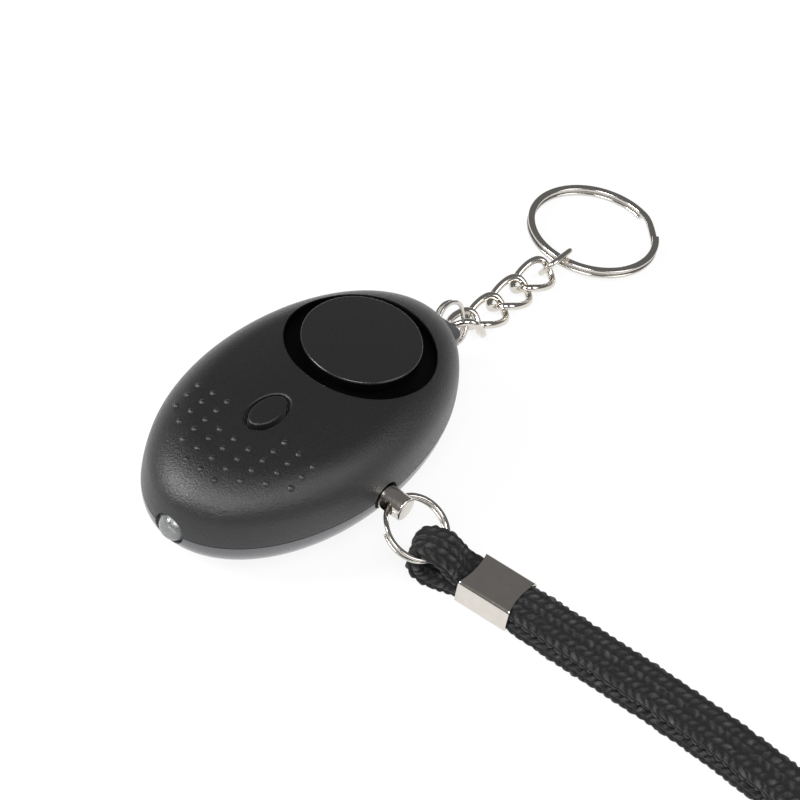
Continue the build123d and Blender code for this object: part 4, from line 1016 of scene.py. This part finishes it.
# Wrist strap: a flat tubular braid of black polyester yarn, doubled back on itself and closed by the
# crimp. It lies in two layers along the table and turns in a loop at its far end, out of the view.
# The braid's ribs of slanted stitches are modelled, and the yarn's filaments are in the material.
strap_width = 7.4
strap_thickness = 2.0
loop_thickness = 2.2
# The routes' points are in metres
strap_route = [
    (0.0419, 0.0024, 0.00134),
    (0.0446, 0.00215, 0.00134),
    (0.0788, 0.0042, 0.00134),
    (0.106705, 0.001711, 0.00134),
    (0.130506, 0.005189, 0.00134),
    (0.16395, 0.010105, 0.00134),
    (0.16395, 0.010105, 0.0175),
    (0.148317, 0.007792, 0.0175),
    (0.134662, 0.005796, 0.00394),
    (0.130506, 0.005189, 0.00394),
    (0.106705, 0.001711, 0.00394),
    (0.0788, 0.0042, 0.00394),
    (0.0446, 0.00215, 0.00394),
    (0.0419, 0.0024, 0.0036),
]
loop_route = [
    (0.0365, 0.002, 0.0014),
    (0.034, 0.0018, 0.0014),
    (0.0258, -0.0018, 0.00136),
    (0.0258, -0.0018, 0.0074),
    (0.0301, -0.0006, 0.0074),
    (0.0318, 0.0011, 0.0039),
    (0.034, 0.0018, 0.0033),
    (0.0365, 0.002, 0.0032),
]
rib_count = 10
stitch_length = 1.45
stitch_slant = 0.9
stitch_depth = 0.55
station_gap = 0.24
loop_station_gap = 0.2
strap_edge_share = 0.4
# How stitches swell: their roundness across and along, their lean, their mean height and their unevenness
rib_roundness = 0.55
stitch_roundness = 0.6
stitch_lean = 0.8
mean_swell = 0.62
yarn_wobble_pitch = 0.8
yarn_shift = 0.3
yarn_swell = 0.35
least_swell = 0.85


def route_line(name, route, gap):
    """Evenly spaced points in millimetres along the NURBS curve that follows a strap's route."""
    curve = bpy.data.curves.new(name, "CURVE")
    curve.dimensions = "3D"
    spline = curve.splines.new("NURBS")
    spline.points.add(len(route) - 1)
    for point, place in zip(spline.points, route):
        point.co = (*place, 1)
    spline.order_u = 3
    spline.use_endpoint_u = True
    spline.resolution_u = 32
    holder = bpy.data.objects.new(name, curve)
    line = [vertex.co / MM for vertex in bpy.data.meshes.new_from_object(holder).vertices]
    bpy.data.objects.remove(holder)
    travelled = [0]
    for before, after in zip(line, line[1:]):
        travelled.append(travelled[-1] + (after - before).length)
    count = round(travelled[-1] / gap)
    places = []
    segment = 0
    for step in range(count + 1):
        target = travelled[-1] * step / count
        while segment < len(line) - 2 and travelled[segment + 1] < target:
            segment += 1
        share = (target - travelled[segment]) / max(travelled[segment + 1] - travelled[segment], 1e-9)
        places.append(line[segment].lerp(line[segment + 1], min(share, 1)))
    return places, travelled[-1]


def flat_ups(places, first_up):
    """Directions out of a strap's flat face, turned along its line with no twist of their own."""
    ups = [first_up]
    way = (places[1] - places[0]).normalized()
    for step in range(1, len(places)):
        after = places[min(step + 1, len(places) - 1)] - places[step - 1]
        after.normalize()
        ups.append(way.rotation_difference(after) @ ups[-1])
        way = after
    return ups


def braided(name, places, ups, width, thickness, sizes):
    """A flat braid along a line, with its stitches raised and a UV map in millimetres of yarn."""
    section = rounded_section(width, thickness, strap_edge_share * thickness, corner_steps=10, side_steps=13)
    around = len(section)
    piece = swept(name, places, ups, section, sizes=sizes)
    lengths = [0]
    for before, after in zip(section, section[1:] + section[:1]):
        lengths.append(lengths[-1] + hypot(after[0] - before[0], after[1] - before[1]))
    girth = lengths[-1]
    gap = (places[1] - places[0]).length
    outwards = [vertex.normal.copy() for vertex in piece.data.vertices]
    raised = piece.data.attributes.new("raised", "FLOAT", "POINT")
    for vertex in piece.data.vertices:
        step, spot = divmod(vertex.index, around)
        rib = lengths[spot] / girth * rib_count
        inside = rib - floor(rib)
        slant = stitch_slant * (inside - 0.5) * (1 if floor(rib) % 2 else -1)
        wobble = noise.noise(vertex.co * yarn_wobble_pitch)
        phase = step * gap / stitch_length + slant + 0.5 * (floor(rib / 2) % 2) + yarn_shift * wobble
        phase -= floor(phase)
        swell = sin(pi * inside) ** rib_roundness * sin(pi * phase**stitch_lean) ** stitch_roundness
        swell *= least_swell + yarn_swell * wobble
        outward = outwards[vertex.index]
        if outward.dot(vertex.co - places[step]) < 0:
            outward.negate()
        depth = stitch_depth * (sizes[step][1] ** 4 if sizes else 1)
        vertex.co = vertex.co + outward * depth * (swell - mean_swell)
        raised.data[vertex.index].value = swell
    layer = piece.data.uv_layers.new(name="yarn")
    for loop in piece.data.loops:
        step, spot = divmod(loop.vertex_index, around)
        layer.data[loop.index].uv = (lengths[spot], step * gap)
    turn_outwards(piece)
    return piece


# Braided polyester: dull black yarn, with a painted highlight on top of each stitch and painted shade,
# almost black, between them, both broken up by the yarn's filaments. Its filaments are drawn far coarser
# than the real ones, about a seventh of a millimetre, so that they show.
filament_counts = (7.0, 2.2, 1.0)
filament_depth = 0.15
black_polyester = blank_material("braided_black_polyester")
spread = node(black_polyester, "UVMap", uv_map="yarn")
strands = node(black_polyester, "Mapping", {"Vector": spread, "Scale": filament_counts})
threads = {"Vector": strands, "Scale": 1.0, "Detail": 4.0, "Roughness": 0.7}
filaments = node(black_polyester, "TexNoise", threads).outputs["Fac"]
patches = node(black_polyester, "TexNoise", {"Vector": spread, "Scale": 0.8, "Detail": 2.0})
both = node(black_polyester, "Math", {0: filaments, 1: patches.outputs["Fac"]}, operation="MULTIPLY")
yarn_tone = node(black_polyester, "MapRange", {0: both, 1: 0.12, 2: 0.42, 3: 0.0, 4: 1.0})
# Painted light: the stitches' height lightens their tops and darkens the creases between them
height = node(black_polyester, "Attribute", attribute_name="raised")
stitch_top_highlight = node(black_polyester, "MapRange", {0: height.outputs["Fac"], 1: 0.5, 2: 1.0, 3: 0.0, 4: 1.0})
stitch_highlight_and_filaments = node(black_polyester, "Math", {0: stitch_top_highlight, 1: yarn_tone}, operation="MULTIPLY")
# 030303 is the painted shade between the stitches, #545154 the painted highlight on their tops
stitch_shade_and_light_tones = {0: stitch_highlight_and_filaments, 6: linear("#030303"), 7: linear("#545154")}
yarn_colour_with_painted_light = node(black_polyester, "Mix", stitch_shade_and_light_tones, data_type="RGBA")
yarn_relief = {"Height": filaments, "Distance": filament_depth * MM, "Strength": 1.0}
yarn_bump = node(black_polyester, "Bump", yarn_relief)
yarn_finish = {
    "Base Color": yarn_colour_with_painted_light.outputs[2],
    "Roughness": 0.6,
    "IOR": 1.5,
    "Specular IOR Level": 0.3,
    "Sheen Weight": 0.12,
    "Sheen Roughness": 0.4,
    "Normal": yarn_bump,
}
principled(black_polyester, yarn_finish)

# The small loop narrows towards the pin's ring, and thins where it goes into the crimp
loop_bend_x = 26
loop_spread = 8
loop_width_shares = (0.76, 0.9)
loop_squeeze_x = 31
loop_squeeze_run = 3
loop_squeeze_share = 0.3
loop_places = route_line("loop_route", loop_route, loop_station_gap)[0]
loop_sizes = []
for place in loop_places:
    nearness = min(max((place.x - loop_bend_x) / loop_spread, 0), 1)
    squeeze = min(max((place.x - loop_squeeze_x) / loop_squeeze_run, 0), 1)
    wide = loop_width_shares[0] + (loop_width_shares[1] - loop_width_shares[0]) * nearness
    loop_sizes.append((wide, 1 - loop_squeeze_share * squeeze))
loop_ups = flat_ups(loop_places, Vector((0, 0, 1)))
small_loop = braided("strap_small_loop", loop_places, loop_ups, strap_width, loop_thickness, loop_sizes)
finish_piece(small_loop, black_polyester, "strap", ["strap_loop"], smooth=60)

# The strap is pressed a little narrower and thinner where it comes out of the crimp
press_run = 4
press_width_share = 0.07
press_thickness_share = 0.2
strap_places, strap_length = route_line("strap_route", strap_route, station_gap)
strap_sizes = []
for step, place in enumerate(strap_places):
    from_crimp = min(step, len(strap_places) - 1 - step) * station_gap
    squeeze = max(1 - from_crimp / press_run, 0) ** 2
    strap_sizes.append((1 - press_width_share * squeeze, 1 - press_thickness_share * squeeze))
strap_ups = flat_ups(strap_places, Vector((0, 0, 1)))
wrist_strap = braided("strap_braid", strap_places, strap_ups, strap_width, strap_thickness, strap_sizes)
finish_piece(wrist_strap, black_polyester, "strap", ["wrist_strap"], smooth=60)


# Pieces inside the case: the siren's brass plate with its fired ceramic, the circuit board with what is
# soldered to it, the steel button cells in their tray, and the springs, contacts and screws. They keep
# their exact shapes, and each gets the finish of its own material.
# Brass is a soft yellow, enamelled copper reddish, and stainless steel cooler and brighter than zinc.
# Fired ceramic is matt cream, the board a satin green, chips and ferrite matt grey, and the foam rough.
gold_brass = plated_metal("rolled_brass", "#C9A55C", "#B08F4C", 0.25, 2.0, 0.01)
bare_copper = plated_metal("enamelled_copper_wire", "#B8683C", "#8E4A28", 0.3, 0.8, 0.02)
stainless = plated_metal("brushed_stainless_steel", "#CFCFCD", "#B6B6B4", 0.22, 1.2, 0.008)
fired_ceramic = moulded_plastic("fired_ceramic", "#D8D3C4", "#CBC5B5", 0.55, 0.5, 0.01)
dark_ferrite = moulded_plastic("sintered_ferrite", "#2E2D2E", "#383739", 0.6, 0.3, 0.02)
green_mask = moulded_plastic("green_solder_mask", "#1F5A34", "#256B3D", 0.3, 1.2, 0.01)
chip_epoxy = moulded_plastic("black_moulding_epoxy", "#1A1A1B", "#222223", 0.6, 0.25, 0.01)
grey_foam = moulded_plastic("grey_gasket_foam", "#4A4A4C", "#58585A", 0.85, 0.6, 0.08)
zinc_steel = plated_metal("zinc_plated_steel", "#BFC1C2", "#9EA1A3", 0.28, 1.0, 0.01)
inner_finishes = {
    "sounder_gasket": grey_foam,
    "piezo_plate": gold_brass,
    "piezo_ceramic": fired_ceramic,
    "piezo_wires": bare_copper,
    "circuit_board": green_mask,
    "control_chip": chip_epoxy,
    "boost_coil_core": dark_ferrite,
    "boost_coil_winding": bare_copper,
    "transistor": chip_epoxy,
    "chip_parts": fired_ceramic,
    "light_switch_body": inner_black,
    "switch_plunger": white_nylon,
    "battery_tray": inner_black,
    "button_cells": stainless,
    "lower_contacts": tinned_steel,
    "upper_contacts": tinned_steel,
    "fixed_contact": gold_brass,
    "contact_leaf": gold_brass,
    "board_screws": zinc_steel,
}
for name, material in inner_finishes.items():
    cad_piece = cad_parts[name]
    cad_piece.data.materials.clear()
    cad_piece.data.materials.append(material)
smooth_copy("case_screws_finish", "case_screws", zinc_steel, "case")
